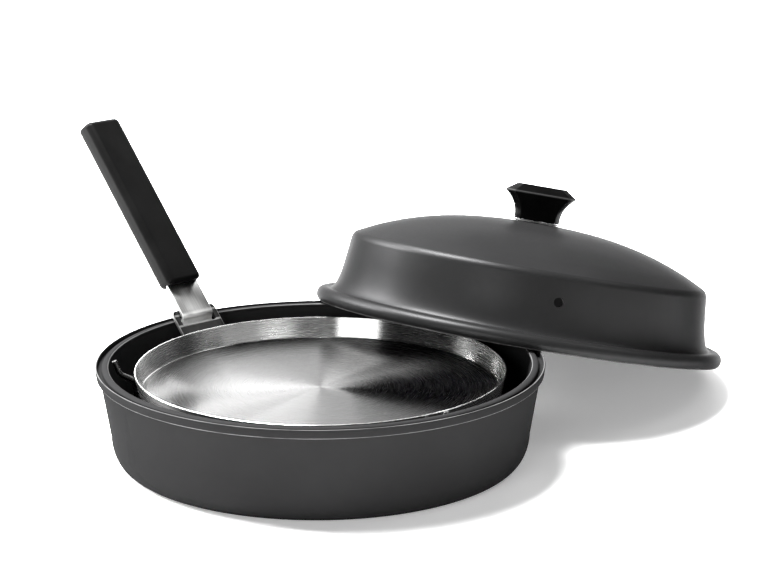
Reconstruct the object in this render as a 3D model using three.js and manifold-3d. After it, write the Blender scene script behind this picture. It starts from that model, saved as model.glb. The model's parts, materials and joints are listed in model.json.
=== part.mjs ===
// Round stovetop oven: a drawn base pan, a steel tray on wire legs with a hook-on handle, and a domed lid
// that leans on the pan's rim. Millimetres, +Z up, origin at the centre of the pan's underside.
import * as THREE from 'three';
import { mergeVertices } from 'three/addons/utils/BufferGeometryUtils.js';
import Module from 'manifold-3d';

const wasm = await Module();
wasm.setup();

// Facets
const ROUND_SIDES = 60;
const SMALL_ROUND_SIDES = 20;
const WIRE_SIDES = 8;
const WIRE_STEPS = 22;
const EDGE_STEPS = 3;
const BEND_STEPS = 4;
const CURVE_STEPS = 7;
const CONTACT_STEPS = 360;
const HALVINGS = 40;

// Clearances
const SEAT_GAP = 0.3;
const HOLE_GAP = 0.25;
const SWING_GAP = 0.45;
const CUT_OVER = 1;

// Base pan
const PAN_HEIGHT = 55.0;
const PAN_LIP_RADIUS = 125.7;
const PAN_LIP_THICKNESS = 1.1;
const PAN_LIP_DEPTH = 4.9;
const PAN_LIP_DRAFT = 0.5;
const PAN_LIP_UNDERCUT = 0.6;
const PAN_LIP_OVERHANG = 2.5;
const PAN_GUTTER_WIDTH = 2.6;
const PAN_GUTTER_DEPTH = 3.0;
const PAN_LEDGE_WIDTH = 3.9;
const PAN_LEDGE_FALL = 1.3;
const PAN_LEDGE_ROUND = 1.1;
const PAN_WALL = 4.2;
const PAN_WALL_DRAFT = 5.6;
const PAN_CORNER_HEIGHT = 15.3;
const PAN_CORNER_REACH = 9.0;
const PAN_FLOOR = 4.0;

// Steel tray
const TRAY_RIM_INSET = 13.9;
const TRAY_RIM_DROP = 4.3;
const TRAY_DEPTH = 11.3;
const TRAY_FLARE = 2.6;
const TRAY_SHEET = 0.9;
const TRAY_CORNER_RADIUS = 1.6;
const TRAY_CHANNEL_WIDTH = 1.4;
const TRAY_CHANNEL_DEPTH = 0.7;

// Wire legs on the tray
const WIRE_RADIUS = 1.5;
const WIRE_BEND_RADIUS = 3.2;
const LEG_WELD_DROP = 7.5;
const LEG_ARM_RISE = 3.5;
const LEG_TIP_RISE = 8.0;
const LEG_TIP_SPLAY = 2.7;
const LEG_TIP_GAP = 1.1;
const LEG_AZIMUTHS = { left: 178.6, front: 304.9, back: 61 };

// Lug that the handle hooks into
const LUG_AZIMUTH = 129.9;
const LUG_SLOPE = 46;
const LUG_WIDTH = 31;
const LUG_THICKNESS = 2.0;
const LUG_BEND_RADIUS = 2.6;
const LUG_FOOT_LENGTH = 24;
const LUG_CROSSBAR = 3.4;
const LUG_CORNER_RADIUS = 3.0;
const LUG_WINDOW_SIDE_GAP = 1.2;
const LUG_WINDOW_ABOVE_LIP = 0.4;
const LUG_WINDOW_OUTSIDE_TRAY = 9.3;

// Handle
const TANG_WIDTH = 21.6;
const TANG_THICKNESS = 1.8;
const TANG_BEND_RADIUS = 1.9;
const TANG_JOGGLE_SLOPE = 60;
const TANG_HOOK_LENGTH = 4.6;
const TANG_HOOK_CORNER = 3;
const TANG_BARE_LENGTH = 22.6;
const TANG_TAIL_LENGTH = 84;
const TANG_TAIL_WIDTH = 14;
const GRIP_LENGTH = 117;
const GRIP_WIDTH = 24;
const GRIP_THICKNESS = 14;
const GRIP_EDGE_RADIUS = 4.8;
const GRIP_END_RADIUS = 3.0;
const GRIP_END_RAKE = 10;

// Lid
const LID_BRIM_INSET = 0.7;
const LID_SHEET = 1.6;
const LID_BRIM_RADIUS = 4.9;
const LID_BRIM_FROM = -50;
const LID_BRIM_TO = 112;
const LID_WALL_INSET = 11.8;
const LID_WALL_DRAFT = 3.9;
const LID_SHOULDER_HEIGHT = 44.7;
const LID_SHOULDER_RADIUS = 5.8;
const LID_DOME_HEIGHT = 23.6;
const LID_DOME_POWER = 2.5;
const LID_VENT_DIAMETER = 5.6;
const LID_VENT_HEIGHT = 29.2;
const LID_VENT_AZIMUTH = -133.5;
const LID_CENTRE_OUTSIDE_PAN = 54.2;
const LID_LEAN_AZIMUTH = 48.1;
const LID_LEAN_LIMIT = 40;

// Knob on the lid
const KNOB_TURN = -49.5;
const KNOB_SEAT_THICKNESS = 0.8;
const KNOB_SEAT_MARGIN = 0.5;
const KNOB_LENGTH = 44.4;
const KNOB_WIDTH = 20;
const KNOB_SIDE_LENGTH = 34;
const KNOB_RIM_HEIGHT = 16.5;
const KNOB_CROWN_HEIGHT = 4.9;
const KNOB_BASE_LENGTH = 28;
const KNOB_BASE_WIDTH = 13;
const KNOB_CROWN_LENGTH = 30.4;
const KNOB_CROWN_WIDTH = 12;
const KNOB_FLARE_POWER = 2.6;
const KNOB_INSERT_DIAMETER = 8;
const KNOB_INSERT_LENGTH = 10;
const SCREW_DIAMETER = 4;
const SCREW_GRIP = 8;
const SCREW_HEAD_DIAMETER = 8;
const SCREW_HEAD_HEIGHT = 2.6;
const SCREW_HEAD_ROUND = 1.3;
const WASHER_DIAMETER = 12;
const WASHER_THICKNESS = 1;

// Finishes
const anodised = (name) => finish(name, 0x3d3d3f, 0.5, 0.75);
const steel = (name) => finish(name, 0xc9c9c7, 0.22, 1.0);
const blackMoulding = (name) => finish(name, 0x0d0d0e, 0.35, 0.0);
const brass = (name) => finish(name, 0xb59a55, 0.35, 1.0);

function finish(name, color, roughness, metalness) {
  return new THREE.MeshStandardMaterial({ name, color, roughness, metalness });
}

const rad = THREE.MathUtils.degToRad;
const point = (x, y) => new THREE.Vector2(x, y);

// Turns a closed geometry into a solid: shared vertices joined, flat triangles dropped, faces pointing out.
function solid(geometry) {
  const bare = geometry.index ? geometry.toNonIndexed() : geometry.clone();
  bare.deleteAttribute('normal');
  bare.deleteAttribute('uv');
  const merged = mergeVertices(bare, 1e-4);
  const positions = merged.attributes.position.array;
  const corner = (i) => new THREE.Vector3().fromArray(positions, 3 * i);
  const triangles = [];
  let volume = 0;
  for (let i = 0; i < merged.index.count; i += 3) {
    const [a, b, c] = [0, 1, 2].map((k) => merged.index.getX(i + k));
    if (a === b || b === c || c === a) continue;
    volume += corner(a).dot(corner(b).cross(corner(c)));
    triangles.push([a, b, c]);
  }
  const triVerts = triangles.flatMap(([a, b, c]) => (volume > 0 ? [a, b, c] : [a, c, b]));
  const mesh = new wasm.Mesh({
    numProp: 3,
    vertProperties: new Float32Array(positions),
    triVerts: new Uint32Array(triVerts),
  });
  return new wasm.Manifold(mesh);
}

// Makes the named scene mesh of a solid.
function piece(name, shape, material) {
  const { vertProperties, triVerts } = shape.getMesh();
  const geometry = new THREE.BufferGeometry();
  geometry.setAttribute('position', new THREE.BufferAttribute(new Float32Array(vertProperties), 3));
  geometry.setIndex(new THREE.BufferAttribute(new Uint32Array(triVerts), 1));
  geometry.computeVertexNormals();
  const mesh = new THREE.Mesh(geometry, material(name));
  mesh.name = name;
  return mesh;
}

// Revolves a profile of radii and heights about Z.
function revolve(profile, sides) {
  return solid(new THREE.LatheGeometry(profile, sides).rotateX(Math.PI / 2));
}

function cylinder(radius, from, to) {
  return revolve([point(0, from), point(radius, from), point(radius, to), point(0, to)], SMALL_ROUND_SIDES);
}

// A flat ring that stands on the plane of its frame.
function ring(outer, inner, height) {
  const section = [point(inner, 0), point(outer, 0), point(outer, height), point(inner, height)];
  return revolve([...section, section[0]], SMALL_ROUND_SIDES);
}

// Extrudes an outline drawn in X and Z, centred on Y.
function extrudeAcross(outline, width) {
  const geometry = new THREE.ExtrudeGeometry(new THREE.Shape(outline), { depth: width, bevelEnabled: false });
  return solid(geometry.rotateX(Math.PI / 2).translate(0, width / 2, 0));
}

// Extrudes an outline drawn in X and Y, centred on Z.
function prism(outline, depth) {
  return new THREE.ExtrudeGeometry(outline, { depth, bevelEnabled: false }).translate(0, 0, -depth / 2);
}

function block(x0, x1, width, z0, z1) {
  const box = new THREE.BoxGeometry(x1 - x0, width, z1 - z0);
  return solid(box.translate((x0 + x1) / 2, 0, (z0 + z1) / 2));
}

// Points of an elliptic arc between two angles in degrees, both ends included.
function arc(centre, radiusX, radiusY, from, to, steps) {
  return Array.from({ length: steps + 1 }, (_, i) => {
    const angle = rad(from + ((to - from) * i) / steps);
    return point(centre.x + radiusX * Math.cos(angle), centre.y + radiusY * Math.sin(angle));
  });
}

function roundArc(centre, radius, from, to, steps) {
  return arc(centre, radius, radius, from, to, steps);
}

// Rounds the inner corners of a polyline.
function rounded(corners, radius) {
  const path = [corners[0]];
  for (let i = 1; i < corners.length - 1; i += 1) {
    const into = corners[i].clone().sub(corners[i - 1]).normalize();
    const out = corners[i + 1].clone().sub(corners[i]).normalize();
    const turn = Math.atan2(into.cross(out), into.dot(out));
    const start = corners[i].clone().addScaledVector(into, -radius * Math.tan(Math.abs(turn) / 2));
    const centre = start.clone().addScaledVector(point(-into.y, into.x), Math.sign(turn) * radius);
    const from = THREE.MathUtils.radToDeg(Math.atan2(start.y - centre.y, start.x - centre.x));
    path.push(...roundArc(centre, radius, from, from + THREE.MathUtils.radToDeg(turn), BEND_STEPS));
  }
  return [...path, corners[corners.length - 1]];
}

// Moves a polyline sideways, to the left of its direction for a positive distance.
function offset(path, distance) {
  return path.map((here, i) => {
    const before = here.clone().sub(path[Math.max(i - 1, 0)]).normalize();
    const after = path[Math.min(i + 1, path.length - 1)].clone().sub(here).normalize();
    const along = before.clone().add(after).normalize();
    const reach = distance / Math.max(along.dot(before), along.dot(after));
    return point(here.x - along.y * reach, here.y + along.x * reach);
  });
}

// Outline of a strip of sheet whose middle follows a polyline.
function strip(path, thickness) {
  return [...offset(path, -thickness / 2), ...offset(path, thickness / 2).reverse()];
}

// Base pan: flat base, curved corner, drafted wall, and a lip and a rounded ledge with a gutter between them
const panWallTopRadius = PAN_LIP_RADIUS - PAN_LIP_OVERHANG;
const panGutterOuter = PAN_LIP_RADIUS - PAN_LIP_THICKNESS;
const panGutterInner = panGutterOuter - PAN_GUTTER_WIDTH;
const panMouthRadius = panGutterInner - PAN_LEDGE_WIDTH;
const panLipRound = PAN_LIP_THICKNESS / 2;
const panLipCrown = point(PAN_LIP_RADIUS - panLipRound, PAN_HEIGHT - panLipRound);
const panLedgeCrown = point(panMouthRadius + PAN_LEDGE_ROUND, PAN_HEIGHT - PAN_LEDGE_ROUND);

function panProfile() {
  const lipFootZ = PAN_HEIGHT - PAN_LIP_DEPTH;
  const wallTopZ = lipFootZ - PAN_LIP_UNDERCUT;
  const gutterZ = PAN_HEIGHT - PAN_GUTTER_DEPTH;
  const innerHeight = PAN_CORNER_HEIGHT - PAN_FLOOR;
  const outerCorner = point(panWallTopRadius - PAN_WALL_DRAFT - PAN_CORNER_REACH, PAN_CORNER_HEIGHT);
  const innerCorner = point(outerCorner.x - PAN_WALL, PAN_CORNER_HEIGHT);
  const hump = point(panLedgeCrown.x, PAN_HEIGHT - PAN_LEDGE_FALL);
  return [
    point(0, 0),
    ...arc(outerCorner, PAN_CORNER_REACH, PAN_CORNER_HEIGHT, -90, 0, CURVE_STEPS),
    point(panWallTopRadius, wallTopZ),
    point(PAN_LIP_RADIUS - PAN_LIP_DRAFT, lipFootZ),
    ...roundArc(panLipCrown, panLipRound, 0, 180, EDGE_STEPS),
    point(panGutterOuter, gutterZ),
    point(panGutterInner, gutterZ),
    ...arc(hump, panGutterInner - hump.x, PAN_LEDGE_FALL, 0, 90, EDGE_STEPS),
    ...roundArc(panLedgeCrown, PAN_LEDGE_ROUND, 90, 270, 2 * EDGE_STEPS).slice(1),
    point(panWallTopRadius - PAN_WALL, wallTopZ),
    ...arc(innerCorner, PAN_CORNER_REACH, innerHeight, 0, -90, BEND_STEPS),
    point(0, PAN_FLOOR),
  ];
}

const basePan = piece('base_pan', revolve(panProfile(), ROUND_SIDES), anodised);

// Steel tray: flared wall, small corner, a pressed channel round a raised floor
const trayRimRadius = panMouthRadius - TRAY_RIM_INSET;
const trayRimZ = PAN_HEIGHT - TRAY_RIM_DROP;
const trayFloorZ = trayRimZ - TRAY_DEPTH;
const trayUnderZ = trayFloorZ - TRAY_CHANNEL_DEPTH - TRAY_SHEET;

// Middle line of the tray's sheet from its rim to its centre.
function trayPath() {
  const half = TRAY_SHEET / 2;
  const footRadius = trayRimRadius - TRAY_FLARE - half;
  const channelRadius = footRadius - TRAY_CORNER_RADIUS - TRAY_CHANNEL_WIDTH;
  const channelZ = trayUnderZ + half;
  const rim = point(trayRimRadius - half, trayRimZ);
  const channel = point(channelRadius, channelZ);
  const wall = rounded([rim, point(footRadius, channelZ), channel], TRAY_CORNER_RADIUS);
  const stepTop = point(channelRadius - TRAY_CHANNEL_DEPTH, trayFloorZ - half);
  return [...wall, stepTop, point(0, stepTop.y)];
}

const trayOutline = [...offset(trayPath(), TRAY_SHEET / 2).reverse(), ...offset(trayPath(), -TRAY_SHEET / 2)];
const steelTray = piece('steel_tray', revolve(trayOutline, ROUND_SIDES), steel);

// Wire legs: a straight leg to the pan's floor, a bend at the weld, an arm outward and an upturned spacer tip
const legWeldZ = trayRimZ - LEG_WELD_DROP;
const legWallShare = (LEG_WELD_DROP + WIRE_BEND_RADIUS) / (trayRimZ - trayUnderZ);
const legRadius = trayRimRadius - TRAY_FLARE * legWallShare + SEAT_GAP + WIRE_RADIUS;

function legPath() {
  const tip = point(panMouthRadius - LEG_TIP_GAP - WIRE_RADIUS, legWeldZ + LEG_ARM_RISE + LEG_TIP_RISE);
  const elbow = point(tip.x - LEG_TIP_SPLAY, legWeldZ + LEG_ARM_RISE);
  const corners = [point(legRadius, PAN_FLOOR + SEAT_GAP), point(legRadius, legWeldZ), elbow, tip];
  const inPlane = (p) => new THREE.Vector3(p.x, 0, p.y);
  const path = new THREE.CurvePath();
  let last = corners[0];
  for (let i = 1; i < corners.length - 1; i += 1) {
    const into = corners[i].clone().sub(corners[i - 1]).normalize();
    const out = corners[i + 1].clone().sub(corners[i]).normalize();
    const start = corners[i].clone().addScaledVector(into, -WIRE_BEND_RADIUS);
    const end = corners[i].clone().addScaledVector(out, WIRE_BEND_RADIUS);
    path.add(new THREE.LineCurve3(inPlane(last), inPlane(start)));
    path.add(new THREE.QuadraticBezierCurve3(inPlane(start), inPlane(corners[i]), inPlane(end)));
    last = end;
  }
  path.add(new THREE.LineCurve3(inPlane(last), inPlane(tip)));
  return path;
}

function legWire() {
  const section = new THREE.Shape(roundArc(point(0, 0), WIRE_RADIUS, 0, 360, WIRE_SIDES).slice(1));
  return solid(new THREE.ExtrudeGeometry(section, { extrudePath: legPath(), steps: WIRE_STEPS }));
}

const legs = Object.entries(LEG_AZIMUTHS).map(([side, azimuth]) => {
  const leg = piece(`tray_leg_${side}`, legWire(), steel);
  leg.rotation.z = rad(azimuth);
  return leg;
});

// Lug: a foot under the tray, a riser beside its wall, and a sloping plate with a window over the pan's rim.
// The handle swings about the middle of the window, which is the origin of the plate's own frame.
const windowHalf = LUG_THICKNESS / 2 + SEAT_GAP + TANG_THICKNESS + SWING_GAP;
const pivot = point(trayRimRadius + LUG_WINDOW_OUTSIDE_TRAY, PAN_HEIGHT + LUG_WINDOW_ABOVE_LIP);
const plateEnd = windowHalf + LUG_CROSSBAR;

function lugPath() {
  const slope = rad(LUG_SLOPE);
  const footZ = trayUnderZ - SEAT_GAP - LUG_THICKNESS / 2;
  const riserX = trayRimRadius + SEAT_GAP + LUG_THICKNESS / 2;
  const bendZ = pivot.y - (pivot.x - riserX) * Math.tan(slope);
  const end = pivot.clone().addScaledVector(point(Math.cos(slope), Math.sin(slope)), plateEnd);
  const corners = [point(riserX - LUG_FOOT_LENGTH, footZ), point(riserX, footZ), point(riserX, bendZ), end];
  return rounded(corners, LUG_BEND_RADIUS);
}

// The plate's outline seen square on, with rounded outer corners, as a prism that trims the bent strip.
function lugTrim() {
  const [inner, half, r] = [-2 * LUG_FOOT_LENGTH, LUG_WIDTH / 2, LUG_CORNER_RADIUS];
  const outline = new THREE.Shape([
    point(inner, -half),
    ...roundArc(point(plateEnd - r, r - half), r, -90, 0, BEND_STEPS),
    ...roundArc(point(plateEnd - r, half - r), r, 0, 90, BEND_STEPS),
    point(inner, half),
  ]);
  outline.holes.push(new THREE.Path(lugWindow()));
  return prism(outline, 4 * LUG_FOOT_LENGTH);
}

function lugWindow() {
  const half = TANG_WIDTH / 2 + LUG_WINDOW_SIDE_GAP;
  return [
    point(-windowHalf, -half),
    point(-windowHalf, half),
    point(windowHalf, half),
    point(windowHalf, -half),
  ];
}

function lugPlate() {
  const trim = lugTrim().rotateY(-rad(LUG_SLOPE)).translate(pivot.x, 0, pivot.y);
  return extrudeAcross(strip(lugPath(), LUG_THICKNESS), LUG_WIDTH).intersect(solid(trim));
}

const lugSide = new THREE.Group();
lugSide.rotation.z = rad(LUG_AZIMUTH);
lugSide.add(piece('tray_lug', lugPlate(), steel));

// Handle: a strip over the crossbar, joggled through the window to a short hook, and a grip on its tail
const tangZ = LUG_THICKNESS / 2 + SEAT_GAP + TANG_THICKNESS / 2;
const joggleHalf = tangZ / Math.tan(rad(TANG_JOGGLE_SLOPE));
const hookEnd = -joggleHalf - TANG_HOOK_LENGTH;
const gripFrom = TANG_BARE_LENGTH;
const tangShoulder = gripFrom + GRIP_END_RADIUS;

// A bar of the tang's thickness, or with a clearance the slot that takes it.
function tangBar(from, to, width, clearance) {
  const half = TANG_THICKNESS / 2 + clearance;
  return block(from - clearance, to + clearance, width + 2 * clearance, tangZ - half, tangZ + half);
}

function tailBar(clearance) {
  return tangBar(gripFrom, gripFrom + TANG_TAIL_LENGTH, TANG_TAIL_WIDTH, clearance);
}

// The strip seen square on, with the corners of the hook's end rounded, as a prism that trims the bent strip.
function tangTrim() {
  const [half, r] = [TANG_WIDTH / 2, TANG_HOOK_CORNER];
  const outline = new THREE.Shape([
    ...roundArc(point(hookEnd + r, half - r), r, 90, 180, BEND_STEPS),
    ...roundArc(point(hookEnd + r, r - half), r, 180, 270, BEND_STEPS),
    point(tangShoulder, -half),
    point(tangShoulder, half),
  ]);
  return prism(outline, 4 * (tangZ + TANG_THICKNESS));
}

function tangStrip() {
  const corners = [
    point(hookEnd, -tangZ),
    point(-joggleHalf, -tangZ),
    point(joggleHalf, tangZ),
    point(tangShoulder, tangZ),
  ];
  const hook = strip(rounded(corners, TANG_BEND_RADIUS), TANG_THICKNESS);
  return extrudeAcross(hook, TANG_WIDTH).intersect(solid(tangTrim())).add(tailBar(0));
}

function grip() {
  const [thick, wide] = [GRIP_THICKNESS / 2 - GRIP_EDGE_RADIUS, GRIP_WIDTH / 2 - GRIP_EDGE_RADIUS];
  const r = GRIP_EDGE_RADIUS - GRIP_END_RADIUS;
  const section = new THREE.Shape([
    ...roundArc(point(thick, wide), r, 0, 90, EDGE_STEPS),
    ...roundArc(point(-thick, wide), r, 90, 180, EDGE_STEPS),
    ...roundArc(point(-thick, -wide), r, 180, 270, EDGE_STEPS),
    ...roundArc(point(thick, -wide), r, 270, 360, EDGE_STEPS),
  ]);
  const bar = new THREE.ExtrudeGeometry(section, {
    depth: GRIP_LENGTH - 2 * GRIP_END_RADIUS,
    bevelThickness: GRIP_END_RADIUS,
    bevelSize: GRIP_END_RADIUS,
    bevelSegments: EDGE_STEPS,
  });
  const rake = new THREE.Matrix4().makeShear(0, 0, 0, 0, -Math.tan(rad(GRIP_END_RAKE)), 0);
  bar.rotateY(Math.PI / 2).applyMatrix4(rake).translate(tangShoulder, 0, tangZ);
  const mouth = tangBar(gripFrom - CUT_OVER, tangShoulder, TANG_WIDTH, SEAT_GAP);
  return solid(bar).subtract(mouth).subtract(tailBar(SEAT_GAP));
}

const handle = new THREE.Group();
handle.position.set(pivot.x, 0, pivot.y);
handle.rotation.y = -rad(LUG_SLOPE);
handle.add(piece('handle_tang', tangStrip(), steel), piece('handle_grip', grip(), blackMoulding));
lugSide.add(handle);

// Lid: a half-rolled brim that seats over the pan's lip, a drafted wall with a concave foot, and a dome
const lidRadius = PAN_LIP_RADIUS - LID_BRIM_INSET;
const brimCentre = point(lidRadius - LID_BRIM_RADIUS, LID_BRIM_RADIUS);
const lidTopZ = LID_SHOULDER_HEIGHT + LID_DOME_HEIGHT;
const lidWallFoot = point(lidRadius - LID_WALL_INSET, 2 * LID_BRIM_RADIUS);
const lidShoulder = point(lidWallFoot.x - LID_WALL_DRAFT, LID_SHOULDER_HEIGHT);

// Concave arc that leaves the brim and runs into the wall.
function lidFoot(brimEnd) {
  const wall = lidShoulder.clone().sub(lidWallFoot).normalize();
  const headings = [rad(LID_BRIM_TO + 90), Math.atan2(wall.y, wall.x)];
  const [from, to] = headings.map((heading) => point(Math.sin(heading), -Math.cos(heading)));
  const across = point(wall.y, -wall.x);
  const radius = lidWallFoot.clone().sub(brimEnd).dot(across) / from.clone().sub(to).dot(across);
  const centre = brimEnd.clone().addScaledVector(from, radius);
  const [start, end] = headings.map((heading) => THREE.MathUtils.radToDeg(heading) + 90);
  return roundArc(centre, radius, start, end, BEND_STEPS).slice(1);
}

// Points of the dome's outside from just within the shoulder to the axis.
function lidDome() {
  return Array.from({ length: CURVE_STEPS }, (_, i) => {
    const share = 1 - (i + 1) / CURVE_STEPS;
    return point(share * lidShoulder.x, lidTopZ - LID_DOME_HEIGHT * share ** LID_DOME_POWER);
  });
}

function lidOutside() {
  const brim = roundArc(brimCentre, LID_BRIM_RADIUS, LID_BRIM_FROM, LID_BRIM_TO, CURVE_STEPS);
  const foot = lidFoot(brim[brim.length - 1]);
  const dome = lidDome();
  const shoulder = rounded([foot[foot.length - 1], lidShoulder, dome[0]], LID_SHOULDER_RADIUS);
  return [...brim, ...foot.slice(0, -1), ...shoulder, ...dome.slice(1)];
}

function lidShell() {
  const outside = lidOutside();
  const inside = offset(outside, LID_SHEET);
  inside[inside.length - 1].x = 0;
  const bore = LID_VENT_DIAMETER / 2;
  const vent = new THREE.CylinderGeometry(bore, bore, lidRadius, SMALL_ROUND_SIDES).rotateZ(Math.PI / 2);
  vent.translate(lidRadius, 0, LID_VENT_HEIGHT).rotateZ(rad(LID_VENT_AZIMUTH));
  return revolve([...inside.reverse(), ...outside], ROUND_SIDES)
    .subtract(solid(vent))
    .subtract(cylinder(screwBore, LID_SHOULDER_HEIGHT, lidTopZ + CUT_OVER));
}

// Knob: a long six-sided outline that flares up to its rim and slopes in again to a flat crown
const screwBore = SCREW_DIAMETER / 2 + HOLE_GAP;
const seatZ = lidTopZ + SEAT_GAP;
const knobZ = seatZ + KNOB_SEAT_THICKNESS + SEAT_GAP;
const washerZ = lidTopZ - LID_SHEET - SEAT_GAP - WASHER_THICKNESS;
const headZ = washerZ - SEAT_GAP - SCREW_HEAD_HEIGHT;

function hexagon(length, width) {
  const [x, y] = [length / 2, width / 2];
  const side = (x * KNOB_SIDE_LENGTH) / KNOB_LENGTH;
  return new THREE.Shape([
    point(x, 0),
    point(side, y),
    point(-side, y),
    point(-x, 0),
    point(-side, -y),
    point(side, -y),
  ]);
}

// A prism whose outline grows from one length and width to another along a power curve.
function flaredPrism(from, to, z0, z1, power, steps) {
  const geometry = new THREE.ExtrudeGeometry(hexagon(1, 1), { depth: 1, steps, bevelEnabled: false });
  const vertices = geometry.attributes.position;
  for (let i = 0; i < vertices.count; i += 1) {
    const height = vertices.getZ(i);
    const size = from.clone().lerp(to, height ** power);
    vertices.setXYZ(i, vertices.getX(i) * size.x, vertices.getY(i) * size.y, z0 + (z1 - z0) * height);
  }
  return solid(geometry);
}

function knobSolid() {
  const base = point(KNOB_BASE_LENGTH, KNOB_BASE_WIDTH);
  const rim = point(KNOB_LENGTH, KNOB_WIDTH);
  const crown = point(KNOB_CROWN_LENGTH, KNOB_CROWN_WIDTH);
  const top = KNOB_RIM_HEIGHT + KNOB_CROWN_HEIGHT;
  return flaredPrism(base, rim, 0, KNOB_RIM_HEIGHT, KNOB_FLARE_POWER, CURVE_STEPS)
    .add(flaredPrism(rim, crown, KNOB_RIM_HEIGHT, top, 1, 1))
    .subtract(cylinder(KNOB_INSERT_DIAMETER / 2 + SEAT_GAP, -CUT_OVER, KNOB_INSERT_LENGTH + SEAT_GAP));
}

function seatPlate() {
  const margin = 2 * KNOB_SEAT_MARGIN;
  const outline = hexagon(KNOB_BASE_LENGTH + margin, KNOB_BASE_WIDTH + margin);
  const plate = new THREE.ExtrudeGeometry(outline, { depth: KNOB_SEAT_THICKNESS, bevelEnabled: false });
  return solid(plate).subtract(cylinder(screwBore, -CUT_OVER, KNOB_SEAT_THICKNESS + CUT_OVER));
}

function knobScrew() {
  const shankTop = knobZ + SCREW_GRIP - headZ;
  const [head, shank] = [SCREW_HEAD_DIAMETER / 2, SCREW_DIAMETER / 2];
  const round = SCREW_HEAD_ROUND;
  const profile = [
    point(0, 0),
    ...roundArc(point(head - round, round), round, -90, 0, EDGE_STEPS),
    point(head, SCREW_HEAD_HEIGHT),
    point(shank, SCREW_HEAD_HEIGHT),
    point(shank, shankTop),
    point(0, shankTop),
  ];
  return revolve(profile, SMALL_ROUND_SIDES);
}

function raised(mesh, z) {
  mesh.position.z = z;
  return mesh;
}

const insertTube = ring(KNOB_INSERT_DIAMETER / 2, screwBore, KNOB_INSERT_LENGTH);
const washerRing = ring(WASHER_DIAMETER / 2, screwBore, WASHER_THICKNESS);
const knobSet = new THREE.Group();
knobSet.rotation.z = rad(KNOB_TURN);
knobSet.add(
  raised(piece('knob_seat_plate', seatPlate(), steel), seatZ),
  raised(piece('knob', knobSolid(), blackMoulding), knobZ),
  raised(piece('knob_insert', insertTube, brass), knobZ),
  raised(piece('knob_washer', washerRing, steel), washerZ),
  raised(piece('knob_screw', knobScrew(), steel), headZ),
);

// The lid leans: its far brim stands on the floor and its near brim lies across the pan's lip at two points.
const lidCentreX = PAN_LIP_RADIUS + LID_CENTRE_OUTSIDE_PAN;
const brimOutside = roundArc(brimCentre, LID_BRIM_RADIUS, LID_BRIM_FROM, 0, CURVE_STEPS);

// Height of the centre of the lid's mouth when its brim stands on the floor.
function mouthZ(lean) {
  return Math.max(...brimOutside.map((p) => p.x * Math.sin(lean) - p.y * Math.cos(lean)));
}

// Least gap between the leaning brim and the crowns of the pan's lip and ledge.
function rimGap(lean) {
  const crowns = [[panLipCrown, panLipRound], [panLedgeCrown, PAN_LEDGE_ROUND]];
  let least = Infinity;
  for (let i = 0; i < CONTACT_STEPS; i += 1) {
    const angle = (i * Math.PI) / CONTACT_STEPS;
    for (const p of brimOutside) {
      const downhill = p.x * Math.cos(angle);
      const x = lidCentreX + downhill * Math.cos(lean) + p.y * Math.sin(lean);
      const z = mouthZ(lean) - downhill * Math.sin(lean) + p.y * Math.cos(lean);
      const radius = Math.hypot(x, p.x * Math.sin(angle));
      for (const [crown, round] of crowns) {
        const above = Math.max(z - crown.y, 0);
        least = Math.min(least, Math.hypot(radius - crown.x, above) - round);
      }
    }
  }
  return least;
}

// The lean at which the brim just lies on the rim, found by halving.
function restingLean() {
  let low = 0;
  let high = rad(LID_LEAN_LIMIT);
  for (let i = 0; i < HALVINGS; i += 1) {
    const middle = (low + high) / 2;
    if (rimGap(middle) < SEAT_GAP) low = middle;
    else high = middle;
  }
  return high;
}

const lid = new THREE.Group();
lid.rotation.y = restingLean();
lid.position.set(lidCentreX, 0, mouthZ(lid.rotation.y));
lid.add(piece('lid_shell', lidShell(), anodised), knobSet);
const lidSide = new THREE.Group();
lidSide.rotation.z = rad(LID_LEAN_AZIMUTH);
lidSide.add(lid);

const oven = new THREE.Group();
oven.name = 'stovetop_oven';
oven.add(basePan, steelTray, ...legs, lugSide, lidSide);

export default oven;
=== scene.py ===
import json
import math

import bpy
from bpy.props import FloatProperty, FloatVectorProperty, PointerProperty
from bpy.types import Operator, Panel, PropertyGroup
from mathutils import Euler, Matrix, Vector

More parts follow.
